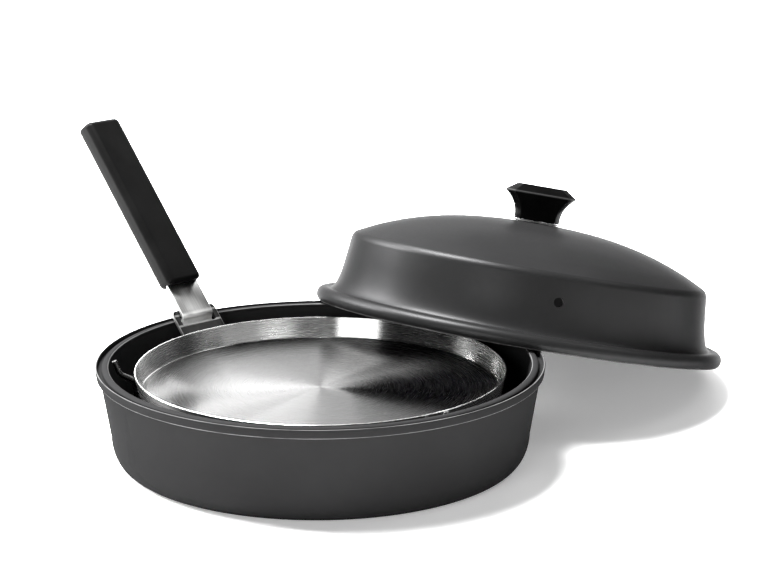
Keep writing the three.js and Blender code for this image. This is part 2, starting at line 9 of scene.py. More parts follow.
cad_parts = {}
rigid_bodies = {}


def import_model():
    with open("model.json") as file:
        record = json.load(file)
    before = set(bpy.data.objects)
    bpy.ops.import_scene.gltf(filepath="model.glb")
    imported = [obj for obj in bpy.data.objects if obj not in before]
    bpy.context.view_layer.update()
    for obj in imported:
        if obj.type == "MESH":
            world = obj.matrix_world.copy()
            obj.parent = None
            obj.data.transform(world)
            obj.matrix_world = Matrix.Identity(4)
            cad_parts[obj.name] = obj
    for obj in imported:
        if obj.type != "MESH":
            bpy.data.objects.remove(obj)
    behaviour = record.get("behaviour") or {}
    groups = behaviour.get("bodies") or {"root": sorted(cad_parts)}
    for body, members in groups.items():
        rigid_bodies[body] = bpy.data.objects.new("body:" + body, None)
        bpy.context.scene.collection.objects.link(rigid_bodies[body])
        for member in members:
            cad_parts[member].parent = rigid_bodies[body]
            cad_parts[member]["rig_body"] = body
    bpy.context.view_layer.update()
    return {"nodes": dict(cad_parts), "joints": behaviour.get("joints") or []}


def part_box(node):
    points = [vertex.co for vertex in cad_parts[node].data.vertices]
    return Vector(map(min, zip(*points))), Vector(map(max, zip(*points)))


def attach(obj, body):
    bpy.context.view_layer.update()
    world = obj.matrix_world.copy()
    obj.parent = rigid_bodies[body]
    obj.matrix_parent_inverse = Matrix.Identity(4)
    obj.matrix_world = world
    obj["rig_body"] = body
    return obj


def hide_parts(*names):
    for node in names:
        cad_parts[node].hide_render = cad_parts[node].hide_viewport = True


bl_info = {
    "name": "Stovetop oven",
    "version": (1, 0, 0),
    "blender": (4, 5, 0),
    "location": "View3D > Sidebar > Oven",
    "description": "Builds the looks of a round stovetop oven around its packed solids",
    "category": "Object",
}

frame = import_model()

MM = 0.001
WELD = 0.001 * MM
ROUND_SIDES = 256
SMALL_SIDES = 64
WIRE_SIDES = 24
CURVE_STEPS = 14
EDGE_STEPS = 6
DOME_STEPS = 26
DOME_START = 3
SWEEP_STEPS = 24
WHITE = (1, 1, 1, 1)

# Reflection of anodised metal at a grazing angle
EDGE_TINT = (0.4, 0.4, 0.4, 1)

# Range that holds most of a noise's values
NOISE_RANGE = (0.3, 0.7)

# Brushed steel: rings to the metre, streaks round the axis, and the grain along a strip
BRUSH_RINGS = 2600.0
BRUSH_STREAKS = (2.2, 2.2, 2.2)
STRIP_GRAIN = (30 * MM, 0.5 * MM, 0.5 * MM)

# Wear and painted highlight left between the scuffs of a strip, and the roughness that scuffs and the knob's
# crown add
LEAST_WEAR_AND_HIGHLIGHT = 0.6
SCUFF_ROUGHNESS = 0.15
CROWN_ROUGHNESS = 0.35

# Width, height and place of each softbox in metres, and the point that all of them face
SOFTBOXES = {
    "key": (1.6, 1.6, (-1.3, 1.0, 1.4)),
    "far_key": (1.2, 1.2, (-2.2, 1.2, 1.2)),
    "back": (2.0, 2.0, (0.2, 2.2, 1.3)),
    "top": (0.9, 0.9, (-0.6, 0.35, 1.9)),
    "fill": (2.0, 2.0, (0.7, -1.2, 2.0)),
    "card": (1.0, 1.0, (-0.9, -1.9, 0.55)),
    "spark": (0.8, 0.8, (1.5, 0.35, 1.85)),
    "side": (2.2, 0.5, (1.4, -1.2, 0.4)),
}
LIT_POINT = Vector((0.05, 0.05, 0.05))


def middle_of(node):
    low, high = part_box(node)
    return (low + high) / 2


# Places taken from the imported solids
PAN_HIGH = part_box("base_pan")[1]
TRAY_LOW, TRAY_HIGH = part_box("steel_tray")
SWING = next(joint for joint in frame["joints"] if joint["name"] == "handle_swing")
PIVOT = Vector(SWING["pos_m"])
LID_AXIS = (middle_of("knob_insert") - middle_of("knob_washer")).normalized()


# Kinds of settings
def size(name, description, default):
    limits = {"default": default, "min": 0, "unit": "LENGTH", "precision": 5}
    return FloatProperty(name=name, description=description, **limits)


def angle(name, description, degrees):
    return FloatProperty(name=name, description=description, default=math.radians(degrees), subtype="ANGLE")


def share(name, description, default):
    return FloatProperty(name=name, description=description, default=default, min=0, max=1, subtype="FACTOR")


def number(name, description, default):
    return FloatProperty(name=name, description=description, default=default, min=0)


def power(name, description, default):
    return FloatProperty(name=name, description=description, default=default, min=0, unit="POWER")


def colour(name, description, default):
    limits = {"default": default, "min": 0, "max": 1, "subtype": "COLOR"}
    return FloatVectorProperty(name=name, description=description, **limits)


class PanSizes(PropertyGroup):
    """The base pan, by its half section"""

    height: size("Height", "From the ground to the crown of the lip", PAN_HIGH.z)
    lip_radius: size("Lip radius", "Outside of the lip", PAN_HIGH.x)
    lip_thickness: size("Lip thickness", "Wall of the upright lip", 1.1 * MM)
    lip_depth: size("Lip depth", "Height of the band outside the lip", 4.9 * MM)
    lip_draft: size("Lip draft", "How far the band draws in towards its foot", 0.5 * MM)
    lip_undercut: size("Lip undercut", "Rise of the band's underside", 0.6 * MM)
    lip_overhang: size("Lip overhang", "How far the lip stands out over the wall", 2.5 * MM)
    lip_edge: size("Lip edge", "Rounding of the band's lower edge", 0.35 * MM)
    gutter_width: size("Gutter width", "Between the lip and the ledge", 2.6 * MM)
    gutter_depth: size("Gutter depth", "Below the crown of the lip", 3.0 * MM)
    gutter_round: size("Gutter round", "Rounding of the gutter's corners", 0.7 * MM)
    ledge_width: size("Ledge width", "From the gutter to the mouth", 3.9 * MM)
    ledge_fall: size("Ledge fall", "How far the ledge falls away towards the gutter", 1.3 * MM)
    ledge_round: size("Ledge round", "Rounding of the ledge's inner edge", 1.1 * MM)
    wall: size("Wall", "Thickness of the wall", 4.2 * MM)
    wall_draft: size("Wall draft", "How far the wall draws in on its way down", 5.6 * MM)
    corner_height: size("Corner height", "Where the wall turns into the bottom corner", 15.3 * MM)
    corner_reach: size("Corner reach", "Radial depth of the bottom corner", 9.0 * MM)
    floor: size("Floor", "Thickness of the floor", 4.0 * MM)


class TraySizes(PropertyGroup):
    """The steel tray, by its half section"""

    rim_radius: size("Rim radius", "Outside of the rim", TRAY_HIGH.x)
    rim_height: size("Rim height", "Of the rim above the ground", TRAY_HIGH.z)
    underside: size("Underside", "Height of the lowest point above the ground", TRAY_LOW.z)
    flare: size("Flare", "How far the wall leans out", 2.6 * MM)
    sheet: size("Sheet", "Thickness of the steel", 0.9 * MM)
    corner_radius: size("Corner radius", "Middle line of the bottom corner", 1.6 * MM)
    channel_width: size("Channel width", "Flat of the pressed ring beside the wall", 1.4 * MM)
    channel_depth: size("Channel depth", "Of the pressed ring below the floor", 0.7 * MM)


class LegSizes(PropertyGroup):
    """The tray's wire legs, by the corners of the wire's line"""

    wire_radius: size("Wire radius", "Half the thickness of the wire", 1.5 * MM)
    bend_reach: size("Bend reach", "From a corner of the wire's line to where its bend starts", 3.2 * MM)
    foot_height: size("Foot height", "Of the lower cut end above the ground", 4.3 * MM)
    leg_radius: size("Leg radius", "Of the upright leg about the pan's axis", 103.84 * MM)
    weld_height: size("Weld height", "Of the bend beside the tray's wall", 43.2 * MM)
    elbow_radius: size("Elbow radius", "Of the outer elbow about the pan's axis", 112.8 * MM)
    elbow_height: size("Elbow height", "Of the outer elbow above the ground", 46.7 * MM)
    tip_radius: size("Tip radius", "Of the upturned end about the pan's axis", 115.5 * MM)
    tip_height: size("Tip height", "Of the upturned end above the ground", 54.7 * MM)
    cut_edge: size("Cut edge", "Rounding of the wire's cut ends", 0.3 * MM)
    left: angle("Left", "Azimuth of the left leg", 178.6)
    front: angle("Front", "Azimuth of the front leg", 304.9)
    back: angle("Back", "Azimuth of the back leg", 61.0)


class LugSizes(PropertyGroup):
    """The lug that the handle hooks into"""

    slope: angle("Slope", "Of the plate above the ground", 46.0)
    width: size("Width", "Across the strip", 31.0 * MM)
    thickness: size("Thickness", "Of the strip", 2.0 * MM)
    bend_radius: size("Bend radius", "Middle line of the bends", 2.6 * MM)
    foot_length: size("Foot length", "Under the tray", 24.0 * MM)
    foot_height: size("Foot height", "Middle of the foot above the ground", 36.5 * MM)
    riser_radius: size("Riser radius", "Middle of the riser about the pan's axis", 105.5 * MM)
    window_half: size("Half window", "Half the window's opening along the plate", 3.55 * MM)
    window_width: size("Window width", "Across the plate", 24.0 * MM)
    crossbar: size("Crossbar", "Bar beyond the window", 3.4 * MM)
    corner_radius: size("Corner radius", "Rounding of the plate's outer corners", 3.0 * MM)
    edge: size("Edge", "Rounding of the stamped edges", 0.25 * MM)


class HandleSizes(PropertyGroup):
    """The handle's steel strip and its moulded grip"""

    tang_width: size("Tang width", "Across the steel strip", 21.6 * MM)
    tang_thickness: size("Tang thickness", "Of the steel strip", 1.8 * MM)
    tang_height: size("Tang height", "Middle of the strip over the middle of the plate", 2.2 * MM)
    bend_radius: size("Bend radius", "Middle line of the strip's bends", 1.9 * MM)
    joggle_slope: angle("Joggle slope", "Of the strip where it passes the window", 60.0)
    hook_length: size("Hook length", "Under the plate", 4.6 * MM)
    hook_corner: size("Hook corner", "Rounding of the corners at the hook's end", 3.0 * MM)
    bare_length: size("Bare length", "From the window's middle to the grip", 22.6 * MM)
    tail_length: size("Tail length", "Of the strip inside the grip", 84.0 * MM)
    tail_width: size("Tail width", "Of the strip inside the grip", 14.0 * MM)
    edge: size("Edge", "Rounding of the strip's edges", 0.22 * MM)
    grip_length: size("Grip length", "Of the moulded grip", 117.0 * MM)
    grip_width: size("Grip width", "Of the moulded grip", 24.0 * MM)
    grip_thickness: size("Grip thickness", "Of the moulded grip", 14.0 * MM)
    grip_edge: size("Grip edge", "Rounding along the grip", 4.2 * MM)
    grip_end: size("Grip end", "Rounding round the grip's ends", 3.0 * MM)
    grip_rake: angle("Grip rake", "Lean of the grip's end faces", 10.0)
    slot_gap: size("Slot gap", "Round the strip in the grip", 0.3 * MM)


class LidSizes(PropertyGroup):
    """The lid, by its half section and its vent"""

    brim_radius: size("Brim radius", "Outside of the brim", 125.0 * MM)
    sheet: size("Sheet", "Thickness of the wall", 1.6 * MM)
    roll_radius: size("Roll radius", "Outside of the half-rolled brim", 4.9 * MM)
    roll_from: angle("Roll from", "Where the roll's lower edge ends", -50.0)
    roll_to: angle("Roll to", "Where the roll passes into the wall's foot", 112.0)
    wall_inset: size("Wall inset", "From the brim to the foot of the wall", 11.8 * MM)
    wall_draft: size("Wall draft", "How far the wall leans in", 3.9 * MM)
    flare_height: size("Flare height", "Where the wall starts to sweep out into the brim", 30.0 * MM)
    shoulder_height: size("Shoulder height", "Of the shoulder's corner over the mouth", 44.7 * MM)
    shoulder_radius: size("Shoulder radius", "Rounding of the shoulder", 5.8 * MM)
    dome_height: size("Dome height", "From the shoulder's corner to the top", 23.6 * MM)
    dome_power: number("Dome power", "Fullness of the dome: 2 is a parabola", 2.5)
    vent_diameter: size("Vent diameter", "Steam hole in the wall", 5.6 * MM)
    vent_height: size("Vent height", "Of the steam hole over the mouth", 29.2 * MM)
    vent_azimuth: angle("Vent azimuth", "Of the steam hole about the lid's axis", -133.5)


class KnobSizes(PropertyGroup):
    """The knob, its seat plate and its fixings"""

    turn: angle("Turn", "Of the knob about the lid's axis", -49.5)
    gap: size("Gap", "Between pieces that seat on each other", 0.3 * MM)
    length: size("Length", "Of the rim, tip to tip", 44.4 * MM)
    width: size("Width", "Of the rim", 20.0 * MM)
    side_share: share("Side share", "Straight side's share of the length", 34.0 / 44.4)
    rim_height: size("Rim height", "Of the widest line over the base", 16.5 * MM)
    crown_height: size("Crown height", "Of the bevelled top over the rim", 4.9 * MM)
    base_length: size("Base length", "Of the foot", 28.0 * MM)
    base_width: size("Base width", "Of the foot", 13.0 * MM)
    crown_length: size("Crown length", "Of the flat top", 30.4 * MM)
    crown_width: size("Crown width", "Of the flat top", 12.0 * MM)
    flare_power: number("Flare power", "How late the sides sweep out", 2.6)
    edge: size("Edge", "Rounding of the moulded edges", 0.35 * MM)
    seat_thickness: size("Seat thickness", "Of the plate under the knob", 0.8 * MM)
    seat_margin: size("Seat margin", "Plate beyond the knob's foot", 0.5 * MM)
    bush_diameter: size("Bush diameter", "Of the threaded bush in the knob", 8.0 * MM)
    bush_length: size("Bush length", "Of the threaded bush in the knob", 10.0 * MM)
    bore: size("Bore", "Radius of the holes for the screw", 2.25 * MM)
    screw_diameter: size("Screw diameter", "Of the shank", 4.0 * MM)
    screw_grip: size("Screw grip", "Length of the shank in the knob", 8.0 * MM)
    head_diameter: size("Head diameter", "Of the screw's head", 8.0 * MM)
    head_height: size("Head height", "Of the screw's head", 2.6 * MM)
    head_round: size("Head round", "Rounding of the screw's head", 1.3 * MM)
    recess_length: size("Recess length", "Of each arm across the head", 4.4 * MM)
    recess_width: size("Recess width", "Of each arm across the head", 0.9 * MM)
    recess_depth: size("Recess depth", "Into the head", 1.3 * MM)
    washer_diameter: size("Washer diameter", "Under the screw's head", 12.0 * MM)
    washer_thickness: size("Washer thickness", "Under the screw's head", 1.0 * MM)


class FinishSettings(PropertyGroup):
    """Colours and wear of the finishes"""

    pan: colour("Pan", "Dark anodising on the pan", (0.0182, 0.0182, 0.0185))
    pan_sheen: share("Pan sheen", "How far the pan's anodising shines as metal", 0.04)
    # The pan's and lid's bare edge lines are rubbed wear and also painted highlight lines
    pan_rub_and_highlight: size("Pan rub", "Width of the bare line on the pan's edges", 0.4 * MM)
    lid: colour("Lid", "Dark anodising on the lid", (0.023, 0.023, 0.0233))
    lid_sheen: share("Lid sheen", "How far the lid's anodising shines as metal", 0.6)
    lid_rub_and_highlight: size("Lid rub", "Width of the bare line on the brim's lower edge", 1.2 * MM)
    bare_edge_and_highlight: colour("Bare edge", "Aluminium where the anodising is rubbed off", (0.26, 0.26, 0.26))
    # The tray's floor and wall are one steel: the floor's colour is painted darker as shade and the wall's
    # lighter as a painted highlight
    tray: colour("Tray", "Steel of the tray's floor", (0.05, 0.05, 0.0495))
    highlit_tray_wall: colour("Tray wall", "Steel of the tray's wall", (0.6, 0.6, 0.594))
    # The rim is polished and also painted nearly white as a highlight line
    polished_tray_rim_highlight: colour("Tray rim", "Polished steel of the tray's rim", (0.95, 0.95, 0.94))
    # The tray's outside is painted dark as shade
    tray_outside_shade: colour("Tray outside", "Dulled steel outside the tray", (0.05, 0.05, 0.05))
    tray_outside_shading: share("Tray dulling", "How far the outside of the tray is dulled", 0.7)
    wire: colour("Wire", "Steel of the legs, washer and screw", (0.08, 0.08, 0.079))
    tang: colour("Tang", "Steel of the handle's strip", (0.42, 0.42, 0.415))
    # The strip's rubbed places are wear and also painted highlights, brightest at the joggle in the window
    tang_wear_and_highlight: share("Tang wear", "How bright the handle's strip is rubbed", 1.0)
    tang_rub_and_highlight: size("Tang rub", "Reach of the rubbed part at the window", 4.0 * MM)
    # Rubbed steel colour, which also paints highlights on the strip, the lug and the knob's plate
    rubbed: colour("Rubbed steel", "Strip and lug where they rub bright", (0.85, 0.85, 0.84))
    lug: colour("Lug", "Steel of the lug and the knob's plate", (0.03, 0.03, 0.0297))
    # The lug's and plate's rubbed lines are wear and also painted highlights on their edges
    lug_wear_and_highlight: share("Lug wear", "How bright the lug and the knob's plate are rubbed", 0.35)
    lug_rub_and_highlight: size("Lug rub", "Reach of the rubbed lines on the lug and the knob's plate", 0.8 * MM)
    grip: colour("Grip", "Moulded grip", (0.004, 0.004, 0.004))
    knob: colour("Knob", "Moulded knob", (0.002, 0.002, 0.002))
    # Painted highlight along the edge of the knob's rim
    knob_rim_highlight: colour("Knob rim", "Edge of the knob's rim", (0.03, 0.03, 0.03))
    brass: colour("Brass", "Threaded bush", (0.55, 0.42, 0.17))
    floor: colour("Floor", "Paper of the studio floor", (0.9, 0.9, 0.9))


class StageSettings(PropertyGroup):
    """The paper, the softboxes' power and the camera"""

    floor_size: size("Floor size", "Side of the floor", 9.0)
    sweep_height: size("Sweep height", "Of the backdrop", 3.0)
    sweep_radius: size("Sweep radius", "Between the floor and the backdrop", 1.2)
    glow: share("Glow", "Light of the table through the paper", 0.28)
    sky: share("Sky", "Strength of the even light all round", 0.01)
    key: power("Key", "Softbox behind the object at the left", 140.0)
    far_key: power("Far key", "Softbox far out at the left", 140.0)
    back: power("Back", "Softbox behind the object", 55.0)
    top: power("Top", "Softbox overhead at the left", 185.0)
    fill: power("Fill", "Softbox above the camera at the right", 4.0)
    card: power("Card", "Softbox in front at the left", 22.0)
    spark: power("Spark", "Small softbox high at the right", 5.5)
    side: power("Side", "Softbox in front at the right", 5.0)
    camera_distance: size("Camera distance", "From the pan's axis, along the ground", 1438.329 * MM)
    camera_height: size("Camera height", "Above the ground", 488.191 * MM)
    camera_yaw: angle("Camera yaw", "Turn to the right", 1.548)
    camera_pitch: angle("Camera pitch", "Look down", 15.322)
    camera_lens: number("Camera lens", "Focal length in millimetres", 123.78)
    camera_sensor: number("Camera sensor", "Width of the sensor in millimetres", 36.0)


SETTINGS = {
    "oven_pan": PanSizes,
    "oven_tray": TraySizes,
    "oven_legs": LegSizes,
    "oven_lug": LugSizes,
    "oven_handle": HandleSizes,
    "oven_lid": LidSizes,
    "oven_knob": KnobSizes,
    "oven_finish": FinishSettings,
    "oven_stage": StageSettings,
}


# Lines and arcs of a section, drawn in X and Z
def arc(centre, radius_x, radius_z, start, end, steps):
    """Points of an elliptic arc between two angles, both ends included."""
    angles = [start + (end - start) * i / steps for i in range(steps + 1)]
    return [Vector((centre.x + radius_x * math.cos(a), centre.y + radius_z * math.sin(a))) for a in angles]


def sweep(start, corner, end, steps):
    """Points of a curve that leaves its start towards the corner and reaches its end from there."""
    shares = [i / steps for i in range(steps + 1)]
    return [start * (1 - t) ** 2 + corner * 2 * t * (1 - t) + end * t**2 for t in shares]


def bend_at(before, here, after):
    """Directions into and out of a corner, and the angle between them."""
    into = (here - before).normalized()
    out = (after - here).normalized()
    return into, out, math.atan2(into.x * out.y - into.y * out.x, into.dot(out))


def softened(corners, steps=EDGE_STEPS):
    """A polyline whose corners, given as (point, radius), are rounded where the radius isn't zero."""
    points = [point for point, radius in corners]
    line = []
    for i, (point, radius) in enumerate(corners):
        if not radius:
            line.append(point)
            continue
        into, _, bend = bend_at(points[i - 1], point, points[i + 1])
        start = point - into * radius * math.tan(abs(bend) / 2)
        centre = start + Vector((-into.y, into.x)) * math.copysign(radius, bend)
        heading = math.atan2(start.y - centre.y, start.x - centre.x)
        line += arc(centre, radius, radius, heading, heading + bend, steps)
    return line


def offset(line, distance):
    """The line moved sideways, to the left of its direction for a positive distance."""
    moved = []
    for i, here in enumerate(line):
        before = (here - line[max(i - 1, 0)]).normalized()
        after = (line[min(i + 1, len(line) - 1)] - here).normalized()
        along = (before + after).normalized()
        reach = distance / max(along.dot(before), along.dot(after))
        moved.append(Vector((here.x - along.y * reach, here.y + along.x * reach)))
    return moved


# Bench work
def wake(piece):
    """Makes the piece the only one chosen, and the active one."""
    bpy.ops.object.select_all(action="DESELECT")
    bpy.context.view_layer.objects.active = piece
    piece.select_set(True)


def new_piece(name):
    """Names the primitive that was added last and applies its place to its mesh."""
    piece = bpy.context.object
    piece.name = piece.data.name = name
    bpy.ops.object.transform_apply(location=True, rotation=True, scale=True)
    return piece


def choose(piece, kind, test):
    """In edit mode, selects the vertices, edges or faces whose middle passes the test."""
    modes = {"vertices": "VERT", "edges": "EDGE", "polygons": "FACE"}
    bpy.ops.mesh.select_mode(type=modes[kind])
    bpy.ops.mesh.select_all(action="DESELECT")
    bpy.ops.object.mode_set(mode="OBJECT")
    places = [vertex.co for vertex in piece.data.vertices]
    for item in getattr(piece.data, kind):
        corners = [places[item.index]] if kind == "vertices" else [places[i] for i in item.vertices]
        item.select = test(sum(corners, Vector()) / len(corners))
    bpy.ops.object.mode_set(mode="EDIT")


def draw_line(name, points):
    """A chain of edges in the XZ plane, drawn by extruding one vertex; stays in edit mode."""
    bpy.ops.object.select_all(action="DESELECT")
    bpy.ops.mesh.primitive_plane_add(size=MM, location=(points[0].x, 0, points[0].y))
    piece = new_piece(name)
    bpy.ops.object.mode_set(mode="EDIT")
    bpy.ops.mesh.select_mode(type="VERT")
    bpy.ops.mesh.merge(type="CENTER")
    for here, there in zip(points, points[1:]):
        step = there - here
        bpy.ops.mesh.extrude_vertices_move(TRANSFORM_OT_translate={"value": (step.x, 0, step.y)})
    bpy.ops.mesh.select_all(action="SELECT")
    return piece


def close_up():
    """Joins doubled points and turns all faces outwards."""
    bpy.ops.mesh.select_all(action="SELECT")
    bpy.ops.mesh.remove_doubles(threshold=WELD)
    bpy.ops.mesh.normals_make_consistent(inside=False)
    bpy.ops.object.mode_set(mode="OBJECT")


def turn(name, section, sides):
    """Spins a section about Z into a solid of revolution."""
    piece = draw_line(name, section)
    bpy.ops.mesh.spin(steps=sides, angle=math.tau, center=(0, 0, 0), axis=(0, 0, 1))
    close_up()
    return piece


def modify(piece, kind, **settings):
    """Adds a modifier with its settings and applies it."""
    wake(piece)
    modifier = piece.modifiers.new(kind, kind)
    for name, value in settings.items():
        setattr(modifier, name, value)
    bpy.ops.object.modifier_apply(modifier=modifier.name)


def round_edges(piece, width, segments, least):
    """Rounds the edges that turn by at least so many degrees."""
    limit = math.radians(least)
    modify(piece, "BEVEL", width=width, segments=segments, limit_method="ANGLE", angle_limit=limit)


def cut_away(piece, cutter):
    """Takes the cutter's room out of the piece, and removes the cutter."""
    modify(piece, "BOOLEAN", operation="DIFFERENCE", object=cutter, solver="EXACT")
    bpy.data.objects.remove(cutter)


def block(low, high):
    """A box between two corners, for cutting."""
    bpy.ops.object.select_all(action="DESELECT")
    bpy.ops.mesh.primitive_cube_add(size=1, location=(low + high) / 2, scale=high - low)
    return new_piece("block")


def rod(radius, low, high):
    """A round rod along Z between two heights, for cutting."""
    bpy.ops.object.select_all(action="DESELECT")
    middle = (0, 0, (low + high) / 2)
    bpy.ops.mesh.primitive_cylinder_add(
        vertices=SMALL_SIDES, radius=radius, depth=high - low, location=middle
    )
    return new_piece("rod")


def copy_of(piece, name):
    """A copy of the piece with a mesh of its own."""
    wake(piece)
    bpy.ops.object.duplicate()
    copy = bpy.context.object
    copy.name = copy.data.name = name
    return copy


def place(piece, matrix):
    """Moves the piece by the matrix, with the place kept in its mesh."""
    wake(piece)
    piece.matrix_world = matrix
    bpy.ops.object.transform_apply(location=True, rotation=True, scale=True)


def hand_over(piece, node, material, crease=30):
    """Smooths the piece, gives it its finish and lets it stand for a CAD node on that node's body."""
    wake(piece)
    bpy.ops.object.shade_smooth_by_angle(angle=math.radians(crease))
    piece.data.materials.clear()
    piece.data.materials.append(material)
    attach(piece, frame["nodes"][node]["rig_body"])
    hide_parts(node)


# Finishes
def start_finish(name):
    """A material, its node tree, its principled shader and its Object coordinates."""
    material = bpy.data.materials.new(name)
    material.use_nodes = True
    tree = material.node_tree
    shader = next(node for node in tree.nodes if node.type == "BSDF_PRINCIPLED")
    coordinates = tree.nodes.new("ShaderNodeTexCoord").outputs["Object"]
    return material, tree, shader, coordinates


def plug(tree, socket, value):
    """Links a node's output to the socket, or sets a plain value on it."""
    if isinstance(value, bpy.types.NodeSocket):
        tree.links.new(value, socket)
    else:
        socket.default_value = value


def fill(tree, node, **sockets):
    """Fills sockets by their names, written with underscores for spaces."""
    for name, value in sockets.items():
        plug(tree, node.inputs[name.replace("_", " ")], value)


def add(tree, kind, settings=None, **sockets):
    """A new node with its settings and filled sockets."""
    made = tree.nodes.new(kind)
    for name, value in (settings or {}).items():
        setattr(made, name, value)
    fill(tree, made, **sockets)
    return made


def worked_out(tree, kind, operation, values):
    """Outputs of a maths node whose sockets are filled in order."""
    made = add(tree, kind, {"operation": operation})
    for socket, value in zip(made.inputs, values):
        plug(tree, socket, value)
    return made.outputs


def maths(tree, operation, *values):
    return worked_out(tree, "ShaderNodeMath", operation, values)["Value"]


def vector_maths(tree, operation, *values):
    """A vector, or a number where the operation measures one."""
    output = "Value" if operation in ("LENGTH", "DISTANCE") else "Vector"
    return worked_out(tree, "ShaderNodeVectorMath", operation, values)[output]


def noise(tree, vector, scale, detail):
    return add(tree, "ShaderNodeTexNoise", Vector=vector, Scale=scale, Detail=detail).outputs["Fac"]


def mapped(tree, value, start, end, low, high):
    """The value's range between start and end, mapped to low and high and held there."""
    sockets = {"Value": value, "From_Min": start, "From_Max": end, "To_Min": low, "To_Max": high}
    return add(tree, "ShaderNodeMapRange", **sockets).outputs["Result"]


def spread(tree, value, low, high):
    """The middle range of a noise, mapped between two values."""
    return mapped(tree, value, *NOISE_RANGE, low, high)


def fading(tree, value, near, far):
    """1 up to the near value, fading to 0 at the far one."""
    return mapped(tree, value, near, far, 1.0, 0.0)


def tinted(tree, factor, base, dark, light):
    """Colour that goes from a darker to a lighter tint of the base."""
    ramp = add(tree, "ShaderNodeValToRGB", Fac=factor)
    for element, spot, tint in zip(ramp.color_ramp.elements, NOISE_RANGE, (dark, light)):
        element.position = spot
        element.color = (*[min(part * tint, 1) for part in base], 1)
    return ramp.outputs["Color"]


def blended(tree, factor, first, second):
    """Colour between two colours."""
    return add(tree, "ShaderNodeMixRGB", Fac=factor, Color1=first, Color2=second).outputs["Color"]


def relief(tree, height, strength, distance):
    return add(tree, "ShaderNodeBump", Height=height, Strength=strength, Distance=distance).outputs["Normal"]


def seen_from(tree, coordinates, matrix, grain=(1, 1, 1)):
    """Coordinates in the frame of a place, in units of the grain's size."""
    sockets = {"Location": matrix.to_translation(), "Rotation": matrix.to_euler(), "Scale": grain}
    mapping = add(tree, "ShaderNodeMapping", {"vector_type": "TEXTURE"}, Vector=coordinates, **sockets)
    return mapping.outputs["Vector"]


def about_axis(tree, vector):
    """Direction across the Z axis, distance from it and height along it."""
    flat = vector_maths(tree, "MULTIPLY", vector, (1, 1, 0))
    heading = vector_maths(tree, "NORMALIZE", flat)
    reach = vector_maths(tree, "LENGTH", flat)
    height = add(tree, "ShaderNodeSeparateXYZ", Vector=vector).outputs["Z"]
    return heading, reach, height


def near_edges(tree, reach, height, edges, width):
    """1 on turned edges, given as points of the section, fading to 0 over the width."""
    spot = add(tree, "ShaderNodeCombineXYZ", X=reach, Y=height).outputs["Vector"]
    most = 0.0
    for edge in edges:
        gap = vector_maths(tree, "DISTANCE", spot, (edge.x, edge.y, 0))
        most = maths(tree, "MAXIMUM", most, fading(tree, gap, near=0.0, far=width))
    return most


def anodised_finish(name, base, sheen, bare_and_highlight, matrix, edges, width):
    """Satin dark anodising with a fine blasted grain, rubbed through to bare metal along the turned edges,
    which also paints highlight lines there.
    """
    material, tree, shader, coordinates = start_finish(name)
    _, reach, height = about_axis(tree, seen_from(tree, coordinates, matrix))
    clouds = noise(tree, coordinates, scale=14.0, detail=5.0)
    grain = noise(tree, coordinates, scale=1500.0, detail=3.0)
    patches = spread(tree, noise(tree, coordinates, scale=60.0, detail=4.0), low=0.3, high=1.0)
    # Rubbed bare edges, also painting highlight lines along them
    worn_and_highlit = maths(tree, "MULTIPLY", near_edges(tree, reach, height, edges, width), patches)
    sound = tinted(tree, clouds, base, dark=0.9, light=1.1)
    fill(
        tree,
        shader,
        Base_Color=blended(tree, worn_and_highlit, sound, (*bare_and_highlight, 1)),
        Roughness=spread(tree, grain, low=0.33, high=0.41),
        Normal=relief(tree, grain, strength=0.12, distance=0.1 * MM),
        Metallic=maths(tree, "MAXIMUM", worn_and_highlit, sheen),
        Specular_IOR_Level=0.0,
        Specular_Tint=EDGE_TINT,
    )
    return material


def tray_steel_finish(name, look, tray):
    """Steel brushed in circles: the floor painted darker as shade, the wall painted lighter as a highlight,
    the rim polished and painted as a bright highlight line, and the outside painted dark as shade.
    """
    material, tree, shader, coordinates = start_finish(name)
    heading, reach, height = about_axis(tree, coordinates)
    across = maths(tree, "MULTIPLY", maths(tree, "ADD", reach, height), BRUSH_RINGS)
    rings = add(tree, "ShaderNodeCombineXYZ", Z=across).outputs["Vector"]
    swept = vector_maths(tree, "MULTIPLY", heading, BRUSH_STREAKS)
    streaks = noise(tree, vector_maths(tree, "ADD", swept, rings), scale=1.0, detail=4.0)
    lean = tray.flare / (tray.rim_height - tray.underside)
    wall = tray.rim_radius - tray.sheet / 2 - lean * tray.rim_height
    wall_reach = maths(tree, "SUBTRACT", reach, maths(tree, "MULTIPLY", height, lean))
    outside = maths(tree, "GREATER_THAN", wall_reach, wall)
    on_wall = maths(tree, "GREATER_THAN", wall_reach, wall - tray.sheet)
    # Polished rim, also painted nearly white as a highlight line
    rim = Vector((tray.rim_radius - tray.sheet / 2, tray.rim_height))
    polish_and_highlight = near_edges(tree, reach, height, [rim], tray.sheet)
    # One steel in two tones: the floor painted darker as shade, the wall painted lighter as a highlight
    shaded_floor_steel, highlit_wall_steel = [
        tinted(tree, streaks, base, dark=0.93, light=1.05) for base in (look.tray, look.highlit_tray_wall)
    ]
    brushed = blended(tree, on_wall, shaded_floor_steel, highlit_wall_steel)
    # The outside of the tray is painted dark as shade
    outside_shading = maths(tree, "MULTIPLY", outside, look.tray_outside_shading)
    with_shaded_outside = blended(tree, outside_shading, brushed, (*look.tray_outside_shade, 1))
    fill(
        tree,
        shader,
        Base_Color=blended(tree, polish_and_highlight, with_shaded_outside, (*look.polished_tray_rim_highlight, 1)),
        Roughness=spread(tree, streaks, low=0.26, high=0.28),
        Normal=relief(tree, streaks, strength=0.025, distance=0.05 * MM),
        Metallic=1.0,
        Anisotropic=1.0,
        Anisotropic_Rotation=0.25,
        Tangent=add(tree, "ShaderNodeTangent", {"direction_type": "RADIAL", "axis": "Z"}).outputs["Tangent"],
    )
    return material


